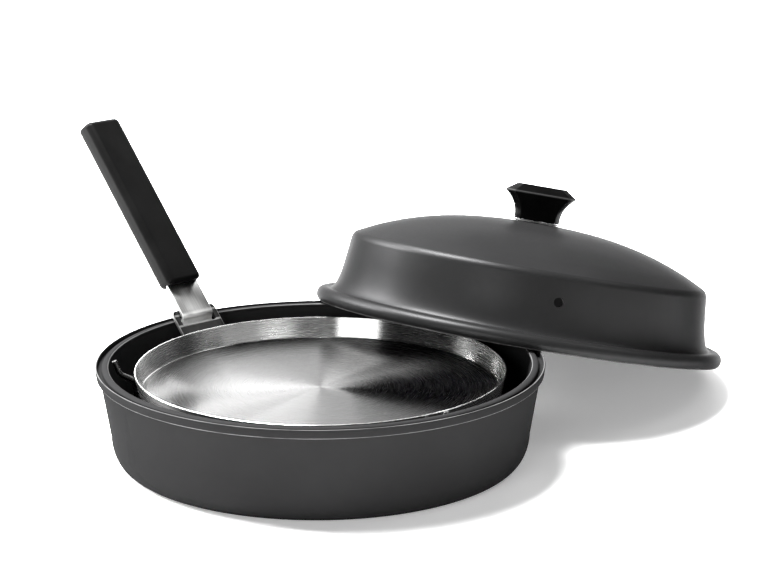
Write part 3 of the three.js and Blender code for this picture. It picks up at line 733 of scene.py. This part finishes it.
def brushed_strip_finish(name, base, rubbed, wear_and_highlight, matrix, width, rub, rub_reach):
    """Strip brushed along X of its place, rubbed bright on its long edges and at a distance in X, which is
    wear and also painted highlights.
    """
    material, tree, shader, coordinates = start_finish(name)
    streaks = noise(tree, seen_from(tree, coordinates, matrix, STRIP_GRAIN), scale=1.0, detail=4.0)
    clouds = noise(tree, coordinates, scale=120.0, detail=3.0)
    spot = add(tree, "ShaderNodeSeparateXYZ", Vector=seen_from(tree, coordinates, matrix))
    along, across = [maths(tree, "ABSOLUTE", spot.outputs[axis]) for axis in "XY"]
    edges = fading(tree, maths(tree, "SUBTRACT", width / 2, across), near=0.2 * MM, far=0.6 * MM)
    off_rub = maths(tree, "ABSOLUTE", maths(tree, "SUBTRACT", along, rub))
    # Rubbed edges and rub spot, also painting highlights there
    rubs_and_highlights = maths(tree, "MAXIMUM", edges, fading(tree, off_rub, near=rub_reach / 2, far=rub_reach))
    worn_and_highlit = maths(tree, "MULTIPLY", rubs_and_highlights, spread(tree, clouds, low=LEAST_WEAR_AND_HIGHLIGHT * wear_and_highlight, high=wear_and_highlight))
    scuffs = maths(tree, "MULTIPLY", worn_and_highlit, SCUFF_ROUGHNESS)
    fill(
        tree,
        shader,
        Base_Color=blended(tree, worn_and_highlit, tinted(tree, streaks, base, dark=0.75, light=1.15), (*rubbed, 1)),
        Roughness=maths(tree, "ADD", spread(tree, clouds, low=0.28, high=0.4), scuffs),
        Normal=relief(tree, streaks, strength=0.15, distance=0.05 * MM),
        Metallic=1.0,
    )
    return material


def wire_finish(name, base):
    """Bright drawn steel with faint die marks."""
    material, tree, shader, coordinates = start_finish(name)
    marks = noise(tree, coordinates, scale=700.0, detail=4.0)
    fill(
        tree,
        shader,
        Base_Color=tinted(tree, marks, base, dark=0.85, light=1.1),
        Roughness=spread(tree, marks, low=0.2, high=0.34),
        Normal=relief(tree, marks, strength=0.06, distance=0.05 * MM),
        Metallic=1.0,
    )
    return material


def grip_finish(name, base):
    """Satin black moulding with a fine spark-eroded grain."""
    material, tree, shader, coordinates = start_finish(name)
    grain = noise(tree, coordinates, scale=1800.0, detail=2.0)
    rubbed = noise(tree, coordinates, scale=45.0, detail=4.0)
    fill(
        tree,
        shader,
        Base_Color=tinted(tree, rubbed, base, dark=0.8, light=1.25),
        Roughness=spread(tree, rubbed, low=0.3, high=0.4),
        Normal=relief(tree, grain, strength=0.1, distance=0.1 * MM),
        Specular_IOR_Level=0.03,
    )
    return material


def knob_finish(name, base, rim_highlight_colour, matrix, rim, edge):
    """Black moulding with faint flow clouds, a painted highlight line on its rim's edge, and rougher above
    it.
    """
    material, tree, shader, coordinates = start_finish(name)
    flow = noise(tree, coordinates, scale=70.0, detail=5.0)
    hairlines = noise(tree, coordinates, scale=900.0, detail=3.0)
    height = add(tree, "ShaderNodeSeparateXYZ", Vector=seen_from(tree, coordinates, matrix)).outputs["Z"]
    off_rim = maths(tree, "ABSOLUTE", maths(tree, "SUBTRACT", height, rim))
    # Painted highlight line along the rim's edge
    painted_highlight_line = fading(tree, off_rim, near=edge, far=2 * edge)
    crown = maths(tree, "GREATER_THAN", height, rim + edge)
    matt_crown = maths(tree, "MULTIPLY", crown, CROWN_ROUGHNESS)
    moulded = tinted(tree, flow, base, dark=0.7, light=1.4)
    fill(
        tree,
        shader,
        Base_Color=blended(tree, painted_highlight_line, moulded, (*rim_highlight_colour, 1)),
        Roughness=maths(tree, "ADD", spread(tree, hairlines, low=0.12, high=0.2), matt_crown),
        Normal=relief(tree, flow, strength=0.02, distance=0.1 * MM),
        Specular_IOR_Level=0.01,
    )
    return material


def floor_finish(name, base, glow):
    """Matt studio paper on a light table that shines through it a little."""
    material, tree, shader, coordinates = start_finish(name)
    fibres = noise(tree, coordinates, scale=260.0, detail=5.0)
    fill(
        tree,
        shader,
        Base_Color=tinted(tree, fibres, base, dark=0.99, light=1.01),
        Roughness=spread(tree, fibres, low=0.75, high=0.85),
        Normal=relief(tree, fibres, strength=0.04, distance=0.1 * MM),
        Emission_Color=WHITE,
        Emission_Strength=glow,
    )
    return material


# Sections and outlines
def pan_section(pan):
    """Half section of the pan from the middle of its underside to the middle of its floor."""
    wall_top = pan.lip_radius - pan.lip_overhang
    gutter_outer = pan.lip_radius - pan.lip_thickness
    gutter_inner = gutter_outer - pan.gutter_width
    gutter_z = pan.height - pan.gutter_depth
    lip_round = pan.lip_thickness / 2
    lip_crown = Vector((pan.lip_radius - lip_round, pan.height - lip_round))
    ledge_x = gutter_inner - pan.ledge_width + pan.ledge_round
    ledge_hump = Vector((ledge_x, pan.height - pan.ledge_fall))
    ledge_edge = Vector((ledge_x, pan.height - pan.ledge_round))
    lip_foot_z = pan.height - pan.lip_depth
    wall_top_z = lip_foot_z - pan.lip_undercut
    corner = Vector((wall_top - pan.wall_draft - pan.corner_reach, pan.corner_height))
    inner_corner = corner - Vector((pan.wall, 0))
    quarter = math.pi / 2
    outside = arc(corner, pan.corner_reach, pan.corner_height, -quarter, 0, CURVE_STEPS)
    crown = arc(lip_crown, lip_round, lip_round, 0, math.pi, EDGE_STEPS)
    band = softened([
        (outside[-1], 0),
        (Vector((wall_top, wall_top_z)), pan.lip_edge),
        (Vector((pan.lip_radius - pan.lip_draft, lip_foot_z)), pan.lip_edge),
        (crown[0], 0),
    ])
    fall = arc(ledge_hump, gutter_inner - ledge_x, pan.ledge_fall, 0, quarter, CURVE_STEPS)
    ledge = fall + arc(ledge_edge, pan.ledge_round, pan.ledge_round, quarter, 3 * quarter, 2 * EDGE_STEPS)[1:]
    gutter = softened([
        (crown[-1], 0),
        (Vector((gutter_outer, gutter_z)), pan.gutter_round),
        (Vector((gutter_inner, gutter_z)), pan.gutter_round),
        (ledge[0], 0),
    ])
    inside = arc(inner_corner, pan.corner_reach, pan.corner_height - pan.floor, 0, -quarter, CURVE_STEPS)
    inside.insert(0, Vector((wall_top - pan.wall, wall_top_z)))
    axis = [Vector((0, 0)), Vector((0, pan.floor))]
    return [axis[0], *outside, *band[1:-1], *crown, *gutter[1:-1], *ledge, *inside, axis[1]]


def pan_rubbed_and_highlit_edges(pan):
    """Edges of the pan that rub bare, also painted as highlight lines: the lip's crown and foot and the
    ledge's inner edge.
    """
    mouth = pan.lip_radius - pan.lip_thickness - pan.gutter_width - pan.ledge_width
    return [
        Vector((pan.lip_radius - pan.lip_thickness / 2, pan.height)),
        Vector((pan.lip_radius - pan.lip_draft, pan.height - pan.lip_depth)),
        Vector((mouth + pan.ledge_round / 3, pan.height - pan.ledge_round / 3)),
    ]


def tray_section(tray):
    """Half section of the tray's sheet, closed on the axis, with a rounded rim."""
    half = tray.sheet / 2
    channel_z = tray.underside + half
    foot_radius = tray.rim_radius - tray.flare - half
    channel_radius = foot_radius - tray.corner_radius - tray.channel_width
    floor_z = channel_z + tray.channel_depth
    middle = softened([
        (Vector((tray.rim_radius - half, tray.rim_height - half)), 0),
        (Vector((foot_radius, channel_z)), tray.corner_radius),
        (Vector((channel_radius, channel_z)), tray.channel_depth),
        (Vector((channel_radius - tray.channel_depth, floor_z)), tray.channel_depth),
        (Vector((0, floor_z)), 0),
    ])
    lean = math.atan2(tray.flare, tray.rim_height - channel_z)
    rim = arc(middle[0], half, half, math.pi - lean, -lean, EDGE_STEPS)
    under = offset(middle, half)
    upper = offset(middle, -half)
    return [*reversed(upper), *rim[1:-1], *under]


def lid_top(lid):
    return lid.shoulder_height + lid.dome_height


def lid_outside(lid):
    """Outside of the lid from the lower edge of its brim to the screw's hole."""
    brim_centre = Vector((lid.brim_radius - lid.roll_radius, lid.roll_radius))
    brim = arc(brim_centre, lid.roll_radius, lid.roll_radius, lid.roll_from, lid.roll_to, 2 * CURVE_STEPS)
    foot = Vector((lid.brim_radius - lid.wall_inset, 2 * lid.roll_radius))
    shoulder = Vector((foot.x - lid.wall_draft, lid.shoulder_height))
    wall = (shoulder - foot).normalized()
    across = Vector((wall.y, -wall.x))
    leave = Vector((-math.sin(lid.roll_to), math.cos(lid.roll_to)))
    valley = brim[-1] + leave * (foot - brim[-1]).dot(across) / leave.dot(across)
    flare_top = foot + wall * (lid.flare_height - foot.y) / wall.y
    flare = sweep(brim[-1], valley, flare_top, 2 * CURVE_STEPS)
    shares = [1 - i / DOME_STEPS for i in range(DOME_START, DOME_STEPS)]
    falls = [lid.dome_height * part**lid.dome_power for part in shares]
    dome = [Vector((part * shoulder.x, lid_top(lid) - fall)) for part, fall in zip(shares, falls)]
    turned = softened([(flare[-1], 0), (shoulder, lid.shoulder_radius), (dome[0], 0)], CURVE_STEPS)
    return [*brim, *flare[1:-1], *turned, *dome[1:]]


def lid_section(lid, bore):
    """Closed section of the lid's wall, with a hole for the screw on its axis."""
    outside = [*lid_outside(lid), Vector((bore, lid_top(lid)))]
    inside = offset(outside, lid.sheet)
    inside[-1] = Vector((bore, lid_top(lid) - lid.sheet))
    return [*outside, *reversed(inside), outside[0]]


def lid_place(lid, knob):
    """Where the lid leans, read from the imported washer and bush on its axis."""
    washer_middle = lid_top(lid) - lid.sheet - knob.gap - knob.washer_thickness / 2
    mouth = middle_of("knob_washer") - LID_AXIS * washer_middle
    azimuth = math.atan2(LID_AXIS.y, LID_AXIS.x)
    lean = math.acos(LID_AXIS.z)
    return Matrix.Translation(mouth) @ Matrix.Rotation(azimuth, 4, "Z") @ Matrix.Rotation(lean, 4, "Y")


def knob_foot_height(lid, knob):
    return lid_top(lid) + knob.seat_thickness + 2 * knob.gap


def knob_place(lid, knob, height):
    turned = Matrix.Rotation(knob.turn, 4, "Z")
    return lid_place(lid, knob) @ Matrix.Translation((0, 0, height)) @ turned


def lug_place():
    return Matrix.Rotation(math.atan2(PIVOT.y, PIVOT.x), 4, "Z")


def handle_place(lug):
    return Matrix.Translation(PIVOT) @ lug_place() @ Matrix.Rotation(-lug.slope, 4, "Y")


# Pieces
class OVEN_OT_base_pan(Operator):
    """Turns the pan with its guttered rim"""

    bl_idname = "oven.base_pan"
    bl_label = "Base pan"

    def execute(self, context):
        scene = context.scene
        look = scene.oven_finish
        pan = turn("pan_body", pan_section(scene.oven_pan), ROUND_SIDES)
        edges = pan_rubbed_and_highlit_edges(scene.oven_pan)
        finish = look.pan, look.pan_sheen, look.bare_edge_and_highlight
        material = anodised_finish("pan_anodising", *finish, Matrix(), edges, look.pan_rub_and_highlight)
        hand_over(pan, "base_pan", material)
        return {"FINISHED"}


class OVEN_OT_tray(Operator):
    """Turns the steel tray with its pressed channel"""

    bl_idname = "oven.tray"
    bl_label = "Tray"

    def execute(self, context):
        scene = context.scene
        tray = turn("tray_dish", tray_section(scene.oven_tray), ROUND_SIDES)
        material = tray_steel_finish("tray_steel", scene.oven_finish, scene.oven_tray)
        hand_over(tray, "steel_tray", material)
        return {"FINISHED"}


def bent_wire(name, legs):
    """One leg in the XZ plane: a circle pulled straight and spun round each bend."""
    corners = [
        Vector((legs.leg_radius, legs.foot_height)),
        Vector((legs.leg_radius, legs.weld_height)),
        Vector((legs.elbow_radius, legs.elbow_height)),
        Vector((legs.tip_radius, legs.tip_height)),
    ]
    bpy.ops.object.select_all(action="DESELECT")
    foot = (corners[0].x, 0, corners[0].y)
    bpy.ops.mesh.primitive_circle_add(vertices=WIRE_SIDES, radius=legs.wire_radius, location=foot)
    piece = new_piece(name)
    bpy.ops.object.mode_set(mode="EDIT")
    last = corners[0]
    for before, here, after in zip(corners, corners[1:], corners[2:]):
        into, out, bend = bend_at(before, here, after)
        start = here - into * legs.bend_reach
        radius = legs.bend_reach / math.tan(abs(bend) / 2)
        centre = start + Vector((-into.y, into.x)) * math.copysign(radius, bend)
        pull(start - last)
        bpy.ops.mesh.spin(steps=EDGE_STEPS, angle=bend, center=(centre.x, 0, centre.y), axis=(0, 1, 0))
        last = here + out * legs.bend_reach
    pull(corners[-1] - last)
    bpy.ops.mesh.edge_face_add()
    choose(piece, "edges", lambda middle: middle.z < legs.foot_height + WELD)
    bpy.ops.mesh.edge_face_add()
    close_up()
    round_edges(piece, legs.cut_edge, segments=3, least=50)
    return piece


def pull(step):
    """Extrudes the chosen ring of edges along a step in X and Z."""
    bpy.ops.mesh.extrude_edges_move(TRANSFORM_OT_translate={"value": (step.x, 0, step.y)})


class OVEN_OT_legs(Operator):
    """Bends the tray's three wire legs"""

    bl_idname = "oven.legs"
    bl_label = "Wire legs"

    def execute(self, context):
        scene = context.scene
        legs = scene.oven_legs
        material = wire_finish("leg_wire", scene.oven_finish.wire)
        pattern = bent_wire("leg_pattern", legs)
        for side in ("left", "front", "back"):
            leg = copy_of(pattern, f"leg_wire_{side}")
            place(leg, Matrix.Rotation(getattr(legs, side), 4, "Z"))
            hand_over(leg, f"tray_leg_{side}", material)
        bpy.data.objects.remove(pattern)
        return {"FINISHED"}


def widen(width):
    """Pulls a drawn line sideways into a sheet, centred on Y."""
    bpy.ops.transform.translate(value=(0, -width / 2, 0))
    bpy.ops.mesh.extrude_edges_move(TRANSFORM_OT_translate={"value": (0, width, 0)})


def lug_sheet(lug):
    """The lug's bent sheet in the XZ plane, with its window and rounded corners."""
    reach = math.hypot(PIVOT.x, PIVOT.y)
    along = Vector((math.cos(lug.slope), math.sin(lug.slope)))
    pivot = Vector((reach, PIVOT.z))
    bend_z = pivot.y - (reach - lug.riser_radius) * math.tan(lug.slope)
    plate_end = lug.window_half + lug.crossbar
    line = softened([
        (Vector((lug.riser_radius - lug.foot_length, lug.foot_height)), 0),
        (Vector((lug.riser_radius, lug.foot_height)), lug.bend_radius),
        (Vector((lug.riser_radius, bend_z)), lug.bend_radius),
        (pivot + along * plate_end, 0),
    ])
    piece = draw_line("lug_strip", line)
    widen(lug.width)
    normal = Vector((along.x, 0, along.y))
    origin = Vector((pivot.x, 0, pivot.y))
    for side in (-1, 1):
        bpy.ops.mesh.select_all(action="SELECT")
        bpy.ops.mesh.bisect(plane_co=origin + normal * side * lug.window_half, plane_no=normal)
        bpy.ops.mesh.select_all(action="SELECT")
        bpy.ops.mesh.bisect(plane_co=(0, side * lug.window_width / 2, 0), plane_no=(0, 1, 0))

    def in_window(middle):
        return abs((middle - origin).dot(normal)) < lug.window_half and abs(middle.y) < lug.window_width / 2

    def outer_corner(place_on_plate):
        beyond = (place_on_plate - origin).dot(normal) > plate_end - WELD
        return beyond and abs(place_on_plate.y) > lug.width / 2 - WELD

    choose(piece, "polygons", in_window)
    bpy.ops.mesh.delete(type="FACE")
    choose(piece, "vertices", outer_corner)
    bpy.ops.mesh.bevel(offset=lug.corner_radius, segments=EDGE_STEPS, affect="VERTICES")
    close_up()
    return piece


class OVEN_OT_lug(Operator):
    """Bends the lug that the handle hooks into"""

    bl_idname = "oven.lug"
    bl_label = "Handle lug"

    def execute(self, context):
        scene = context.scene
        lug, look = scene.oven_lug, scene.oven_finish
        piece = lug_sheet(lug)
        modify(piece, "SOLIDIFY", thickness=lug.thickness, offset=0, use_even_offset=True)
        round_edges(piece, lug.edge, segments=2, least=50)
        place(piece, lug_place())
        finish = look.lug, look.rubbed, look.lug_wear_and_highlight
        rubs_and_highlights = lug.width, lug.window_half, look.lug_rub_and_highlight
        material = brushed_strip_finish("lug_steel", *finish, handle_place(lug), *rubs_and_highlights)
        hand_over(piece, "tray_lug", material)
        return {"FINISHED"}


def tang_sheet(handle):
    """The handle's steel strip in the plate's frame: hook, joggle through the window, bare part and tail."""
    joggle = handle.tang_height / math.tan(handle.joggle_slope)
    shoulder = handle.bare_length + handle.grip_end
    hook_end = -joggle - handle.hook_length
    line = softened([
        (Vector((hook_end, -handle.tang_height)), 0),
        (Vector((-joggle, -handle.tang_height)), handle.bend_radius),
        (Vector((joggle, handle.tang_height)), handle.bend_radius),
        (Vector((shoulder, handle.tang_height)), 0),
    ])
    piece = draw_line("tang_strip", line)
    widen(handle.tang_width)
    neck = (handle.tang_width - handle.tail_width) / 4
    choose(piece, "edges", lambda middle: middle.x > shoulder - WELD)
    bpy.ops.mesh.extrude_edges_move(TRANSFORM_OT_translate={"value": (neck, 0, 0)})
    bpy.ops.transform.resize(value=(1, handle.tail_width / handle.tang_width, 1), center_override=(0, 0, 0))
    tail = handle.bare_length + handle.tail_length - shoulder - neck
    bpy.ops.mesh.extrude_edges_move(TRANSFORM_OT_translate={"value": (tail, 0, 0)})
    choose(piece, "vertices", lambda corner: corner.x < hook_end + WELD)
    bpy.ops.mesh.bevel(offset=handle.hook_corner, segments=EDGE_STEPS, affect="VERTICES")
    close_up()
    return piece


def grip_bar(handle):
    """The moulded grip: a raked block with rounded edges and a slot for the strip."""
    rake = math.tan(handle.grip_rake)
    half = Vector((handle.grip_length, handle.grip_width, handle.grip_thickness)) / 2
    middle = Vector((handle.bare_length + half.x, 0, handle.tang_height))
    piece = block(middle - half, middle + half)
    piece.name = piece.data.name = "grip_bar"
    bpy.ops.object.mode_set(mode="EDIT")
    for side in (-1, 1):
        choose(piece, "vertices", lambda corner: (corner.z - middle.z) * side > 0)
        bpy.ops.transform.translate(value=(-side * rake * half.z, 0, 0))
    choose(piece, "edges", lambda edge: abs(edge.x - middle.x) < half.x / 2)
    bpy.ops.mesh.bevel(offset=handle.grip_edge, segments=2 * EDGE_STEPS, affect="EDGES")
    rounded_end = half.x - rake * half.z - handle.grip_end
    choose(piece, "edges", lambda edge: abs(edge.x - middle.x) > rounded_end)
    bpy.ops.mesh.bevel(offset=handle.grip_end, segments=EDGE_STEPS, affect="EDGES")
    close_up()
    gap = handle.slot_gap
    thick = handle.tang_thickness / 2 + gap
    mouth = Vector((handle.grip_end + gap, handle.tang_width / 2 + gap, thick))
    entry = Vector((handle.bare_length, 0, handle.tang_height))
    cut_away(piece, block(entry - mouth, entry + mouth))
    tail = Vector((handle.tail_length + gap, handle.tail_width / 2 + gap, thick))
    cut_away(piece, block(entry - tail, entry + tail))
    return piece


class OVEN_OT_handle(Operator):
    """Bends the handle's strip and moulds its grip"""

    bl_idname = "oven.handle"
    bl_label = "Handle"

    def execute(self, context):
        scene = context.scene
        handle, look = scene.oven_handle, scene.oven_finish
        home = handle_place(scene.oven_lug)
        tang = tang_sheet(handle)
        modify(tang, "SOLIDIFY", thickness=handle.tang_thickness, offset=0, use_even_offset=True)
        round_edges(tang, handle.edge, segments=2, least=50)
        place(tang, home)
        finish = look.tang, look.rubbed, look.tang_wear_and_highlight
        rubs_and_highlights = handle.tang_width, 0.0, look.tang_rub_and_highlight
        steel = brushed_strip_finish("tang_steel", *finish, home, *rubs_and_highlights)
        hand_over(tang, "handle_tang", steel)
        grip = grip_bar(handle)
        place(grip, home)
        hand_over(grip, "handle_grip", grip_finish("grip_black", look.grip))
        return {"FINISHED"}


class OVEN_OT_lid(Operator):
    """Turns the domed lid and drills its vent"""

    bl_idname = "oven.lid"
    bl_label = "Lid"

    def execute(self, context):
        scene = context.scene
        lid, look = scene.oven_lid, scene.oven_finish
        piece = turn("lid_dome", lid_section(lid, scene.oven_knob.bore), ROUND_SIDES)
        drill = rod(lid.vent_diameter / 2, 0, lid.brim_radius)
        aim = Matrix.Rotation(lid.vent_azimuth, 4, "Z") @ Matrix.Rotation(math.pi / 2, 4, "Y")
        place(drill, Matrix.Translation((0, 0, lid.vent_height)) @ aim)
        cut_away(piece, drill)
        home = lid_place(lid, scene.oven_knob)
        place(piece, home)
        lower_edge = lid_outside(lid)[:1]
        finish = look.lid, look.lid_sheen, look.bare_edge_and_highlight
        material = anodised_finish("lid_anodising", *finish, home, lower_edge, look.lid_rub_and_highlight)
        hand_over(piece, "lid_shell", material)
        return {"FINISHED"}


def hexagon(name, length, width, side_share):
    """A flat six-sided outline with its tips on X; stays in edit mode with its face chosen."""
    bpy.ops.object.select_all(action="DESELECT")
    bpy.ops.mesh.primitive_circle_add(vertices=6, radius=1, fill_type="NGON", rotation=(0, 0, math.pi / 2))
    piece = new_piece(name)
    bpy.ops.object.mode_set(mode="EDIT")
    side = Vector((math.cos(math.pi / 3), math.sin(math.pi / 3)))
    choose(piece, "vertices", lambda corner: abs(corner.x) < side.x + WELD)
    bpy.ops.transform.resize(value=(side_share / side.x, 1 / side.y, 1), center_override=(0, 0, 0))
    bpy.ops.mesh.select_all(action="SELECT")
    bpy.ops.transform.resize(value=(length / 2, width / 2, 1), center_override=(0, 0, 0))
    return piece


def raise_outline(rise, grow_x, grow_y):
    """Extrudes the chosen face upwards and scales it about the axis."""
    bpy.ops.mesh.extrude_region_move(TRANSFORM_OT_translate={"value": (0, 0, rise)})
    bpy.ops.transform.resize(value=(grow_x, grow_y, 1), center_override=(0, 0, 0))


def knob_body(knob):
    """The knob on its foot: flared six-sided stem, rim and bevelled crown."""
    piece = hexagon("knob_body", knob.base_length, knob.base_width, knob.side_share)
    bpy.ops.mesh.duplicate()
    flares = [(i / CURVE_STEPS) ** knob.flare_power for i in range(CURVE_STEPS + 1)]
    lengths = [knob.base_length + (knob.length - knob.base_length) * flare for flare in flares]
    widths = [knob.base_width + (knob.width - knob.base_width) * flare for flare in flares]
    rise = knob.rim_height / CURVE_STEPS
    for i in range(CURVE_STEPS):
        raise_outline(rise, lengths[i + 1] / lengths[i], widths[i + 1] / widths[i])
    raise_outline(knob.crown_height, knob.crown_length / knob.length, knob.crown_width / knob.width)
    close_up()
    round_edges(piece, knob.edge, segments=3, least=25)
    cut_away(piece, rod(knob.bush_diameter / 2 + knob.gap, -MM, knob.bush_length + knob.gap))
    return piece


def seat_plate(knob):
    """The thin plate that the knob stands on."""
    margin = 2 * knob.seat_margin
    piece = hexagon("knob_plate", knob.base_length + margin, knob.base_width + margin, knob.side_share)
    bpy.ops.mesh.duplicate()
    raise_outline(knob.seat_thickness, 1, 1)
    close_up()
    round_edges(piece, knob.seat_thickness / 4, segments=2, least=25)
    cut_away(piece, rod(knob.bore, -MM, knob.seat_thickness + MM))
    return piece


class OVEN_OT_knob(Operator):
    """Moulds the knob and stamps its seat plate"""

    bl_idname = "oven.knob"
    bl_label = "Knob"

    def execute(self, context):
        scene = context.scene
        lid, knob, look = scene.oven_lid, scene.oven_knob, scene.oven_finish
        body = knob_body(knob)
        foot = knob_place(lid, knob, knob_foot_height(lid, knob))
        place(body, foot)
        rim = foot, knob.rim_height, knob.edge
        material = knob_finish("knob_black", look.knob, look.knob_rim_highlight, *rim)
        hand_over(body, "knob", material, crease=20)
        plate = seat_plate(knob)
        home = knob_place(lid, knob, lid_top(lid) + knob.gap)
        place(plate, home)
        finish = look.lug, look.rubbed, look.lug_wear_and_highlight
        rubs_and_highlights = knob.base_width + 2 * knob.seat_margin, knob.base_length / 2, look.lug_rub_and_highlight
        steel = brushed_strip_finish("plate_steel", *finish, home, *rubs_and_highlights)
        hand_over(plate, "knob_seat_plate", steel)
        return {"FINISHED"}


def ring_section(outer, inner, height, edge):
    """Closed section of a ring with softened outer edges."""
    return softened([
        (Vector((inner, 0)), 0),
        (Vector((outer, 0)), edge),
        (Vector((outer, height)), edge),
        (Vector((inner, height)), 0),
        (Vector((inner, 0)), 0),
    ])


def screw_section(knob, length):
    """Half section of a pan-head screw that stands on its head."""
    head, shank = knob.head_diameter / 2, knob.screw_diameter / 2
    return softened([
        (Vector((0, 0)), 0),
        (Vector((head, 0)), knob.head_round),
        (Vector((head, knob.head_height)), 0),
        (Vector((shank, knob.head_height)), 0),
        (Vector((shank, length)), shank / 4),
        (Vector((0, length)), 0),
    ])


class OVEN_OT_knob_fixings(Operator):
    """Turns the bush, the washer and the screw that hold the knob"""

    bl_idname = "oven.knob_fixings"
    bl_label = "Knob fixings"

    def execute(self, context):
        scene = context.scene
        lid, knob, look = scene.oven_lid, scene.oven_knob, scene.oven_finish
        foot = knob_foot_height(lid, knob)
        washer_z = lid_top(lid) - lid.sheet - knob.gap - knob.washer_thickness
        head_z = washer_z - knob.gap - knob.head_height
        edge = knob.washer_thickness / 4
        bush_line = ring_section(knob.bush_diameter / 2, knob.bore, knob.bush_length, edge)
        bush = turn("knob_bush", bush_line, SMALL_SIDES)
        place(bush, knob_place(lid, knob, foot))
        hand_over(bush, "knob_insert", wire_finish("bush_brass", look.brass))
        washer_line = ring_section(knob.washer_diameter / 2, knob.bore, knob.washer_thickness, edge)
        washer = turn("knob_underwasher", washer_line, SMALL_SIDES)
        place(washer, knob_place(lid, knob, washer_z))
        fixing_steel = wire_finish("fixing_steel", look.wire)
        hand_over(washer, "knob_washer", fixing_steel)
        screw = turn("knob_bolt", screw_section(knob, foot + knob.screw_grip - head_z), SMALL_SIDES)
        arm = Vector((knob.recess_length, knob.recess_width, 2 * knob.recess_depth)) / 2
        cut_away(screw, block(-arm, arm))
        cross = Vector((arm.y, arm.x, arm.z))
        cut_away(screw, block(-cross, cross))
        place(screw, knob_place(lid, knob, head_z))
        hand_over(screw, "knob_screw", fixing_steel)
        return {"FINISHED"}


def lay_paper(stage, material):
    """The paper floor that sweeps up into a backdrop."""
    half = stage.floor_size / 2
    bpy.ops.object.select_all(action="DESELECT")
    bpy.ops.mesh.primitive_plane_add(size=stage.floor_size)
    floor = new_piece("paper_floor")
    bpy.ops.object.mode_set(mode="EDIT")
    choose(floor, "edges", lambda middle: middle.y > half - WELD)
    bpy.ops.mesh.extrude_edges_move(TRANSFORM_OT_translate={"value": (0, 0, stage.sweep_height)})
    choose(floor, "edges", lambda middle: middle.y > half - WELD and abs(middle.z) < WELD)
    bpy.ops.mesh.bevel(offset=stage.sweep_radius, segments=SWEEP_STEPS, affect="EDGES")
    bpy.ops.object.mode_set(mode="OBJECT")
    bpy.ops.object.shade_smooth()
    floor.data.materials.append(material)


def hang_softbox(scene, name, watts, width, height, position):
    """An area light that faces the lit point."""
    light = bpy.data.lights.new(name, "AREA")
    light.energy = watts
    light.shape = "RECTANGLE"
    light.size = width
    light.size_y = height
    lamp = bpy.data.objects.new(name, light)
    scene.collection.objects.link(lamp)
    lamp.location = position
    lamp.rotation_euler = (LIT_POINT - lamp.location).to_track_quat("-Z", "Y").to_euler()


def surround(scene, strength):
    """White surroundings that give only a little light."""
    scene.world = bpy.data.worlds.new("even_light")
    scene.world.use_nodes = True
    tree = scene.world.node_tree
    in_view = add(tree, "ShaderNodeLightPath").outputs["Is Camera Ray"]
    fill(tree, tree.nodes["Background"], Color=WHITE, Strength=maths(tree, "MAXIMUM", in_view, strength))


def set_camera(scene, stage):
    """The camera at the photograph's place."""
    lens = bpy.data.cameras.new("camera")
    lens.lens = stage.camera_lens
    lens.sensor_width = stage.camera_sensor
    camera = bpy.data.objects.new("camera", lens)
    scene.collection.objects.link(camera)
    camera.location = (0, -stage.camera_distance, stage.camera_height)
    camera.rotation_euler = Euler((math.pi / 2 - stage.camera_pitch, 0, -stage.camera_yaw))
    scene.camera = camera


class OVEN_OT_stage(Operator):
    """Sets the paper floor, the softboxes and the camera"""

    bl_idname = "oven.stage"
    bl_label = "Stage"

    def execute(self, context):
        scene = context.scene
        stage = scene.oven_stage
        lay_paper(stage, floor_finish("studio_paper", scene.oven_finish.floor, stage.glow))
        for name, measures in SOFTBOXES.items():
            hang_softbox(scene, f"{name}_softbox", getattr(stage, name), *measures)
        surround(scene, stage.sky)
        set_camera(scene, stage)
        scene.view_settings.view_transform = "Standard"
        return {"FINISHED"}


class OVEN_PT_bench(Panel):
    """Lists the oven's sizes and the operators that build it"""

    bl_label = "Stovetop oven"
    bl_idname = "OVEN_PT_bench"
    bl_space_type = "VIEW_3D"
    bl_region_type = "UI"
    bl_category = "Oven"

    def draw(self, context):
        for operator in OPERATORS:
            self.layout.operator(operator.bl_idname)
        for name, group in SETTINGS.items():
            box = self.layout.box()
            for field in group.__annotations__:
                box.prop(getattr(context.scene, name), field)


OPERATORS = (
    OVEN_OT_base_pan,
    OVEN_OT_tray,
    OVEN_OT_legs,
    OVEN_OT_lug,
    OVEN_OT_handle,
    OVEN_OT_lid,
    OVEN_OT_knob,
    OVEN_OT_knob_fixings,
    OVEN_OT_stage,
)


def register():
    for group in (*SETTINGS.values(), *OPERATORS, OVEN_PT_bench):
        bpy.utils.register_class(group)
    for name, group in SETTINGS.items():
        setattr(bpy.types.Scene, name, PointerProperty(type=group))


def unregister():
    for name in SETTINGS:
        delattr(bpy.types.Scene, name)
    for group in (OVEN_PT_bench, *reversed(OPERATORS), *SETTINGS.values()):
        bpy.utils.unregister_class(group)


def main():
    register()
    bpy.ops.oven.base_pan()
    bpy.ops.oven.tray()
    bpy.ops.oven.legs()
    bpy.ops.oven.lug()
    bpy.ops.oven.handle()
    bpy.ops.oven.lid()
    bpy.ops.oven.knob()
    bpy.ops.oven.knob_fixings()
    bpy.ops.oven.stage()


if __name__ == "__main__":
    main()
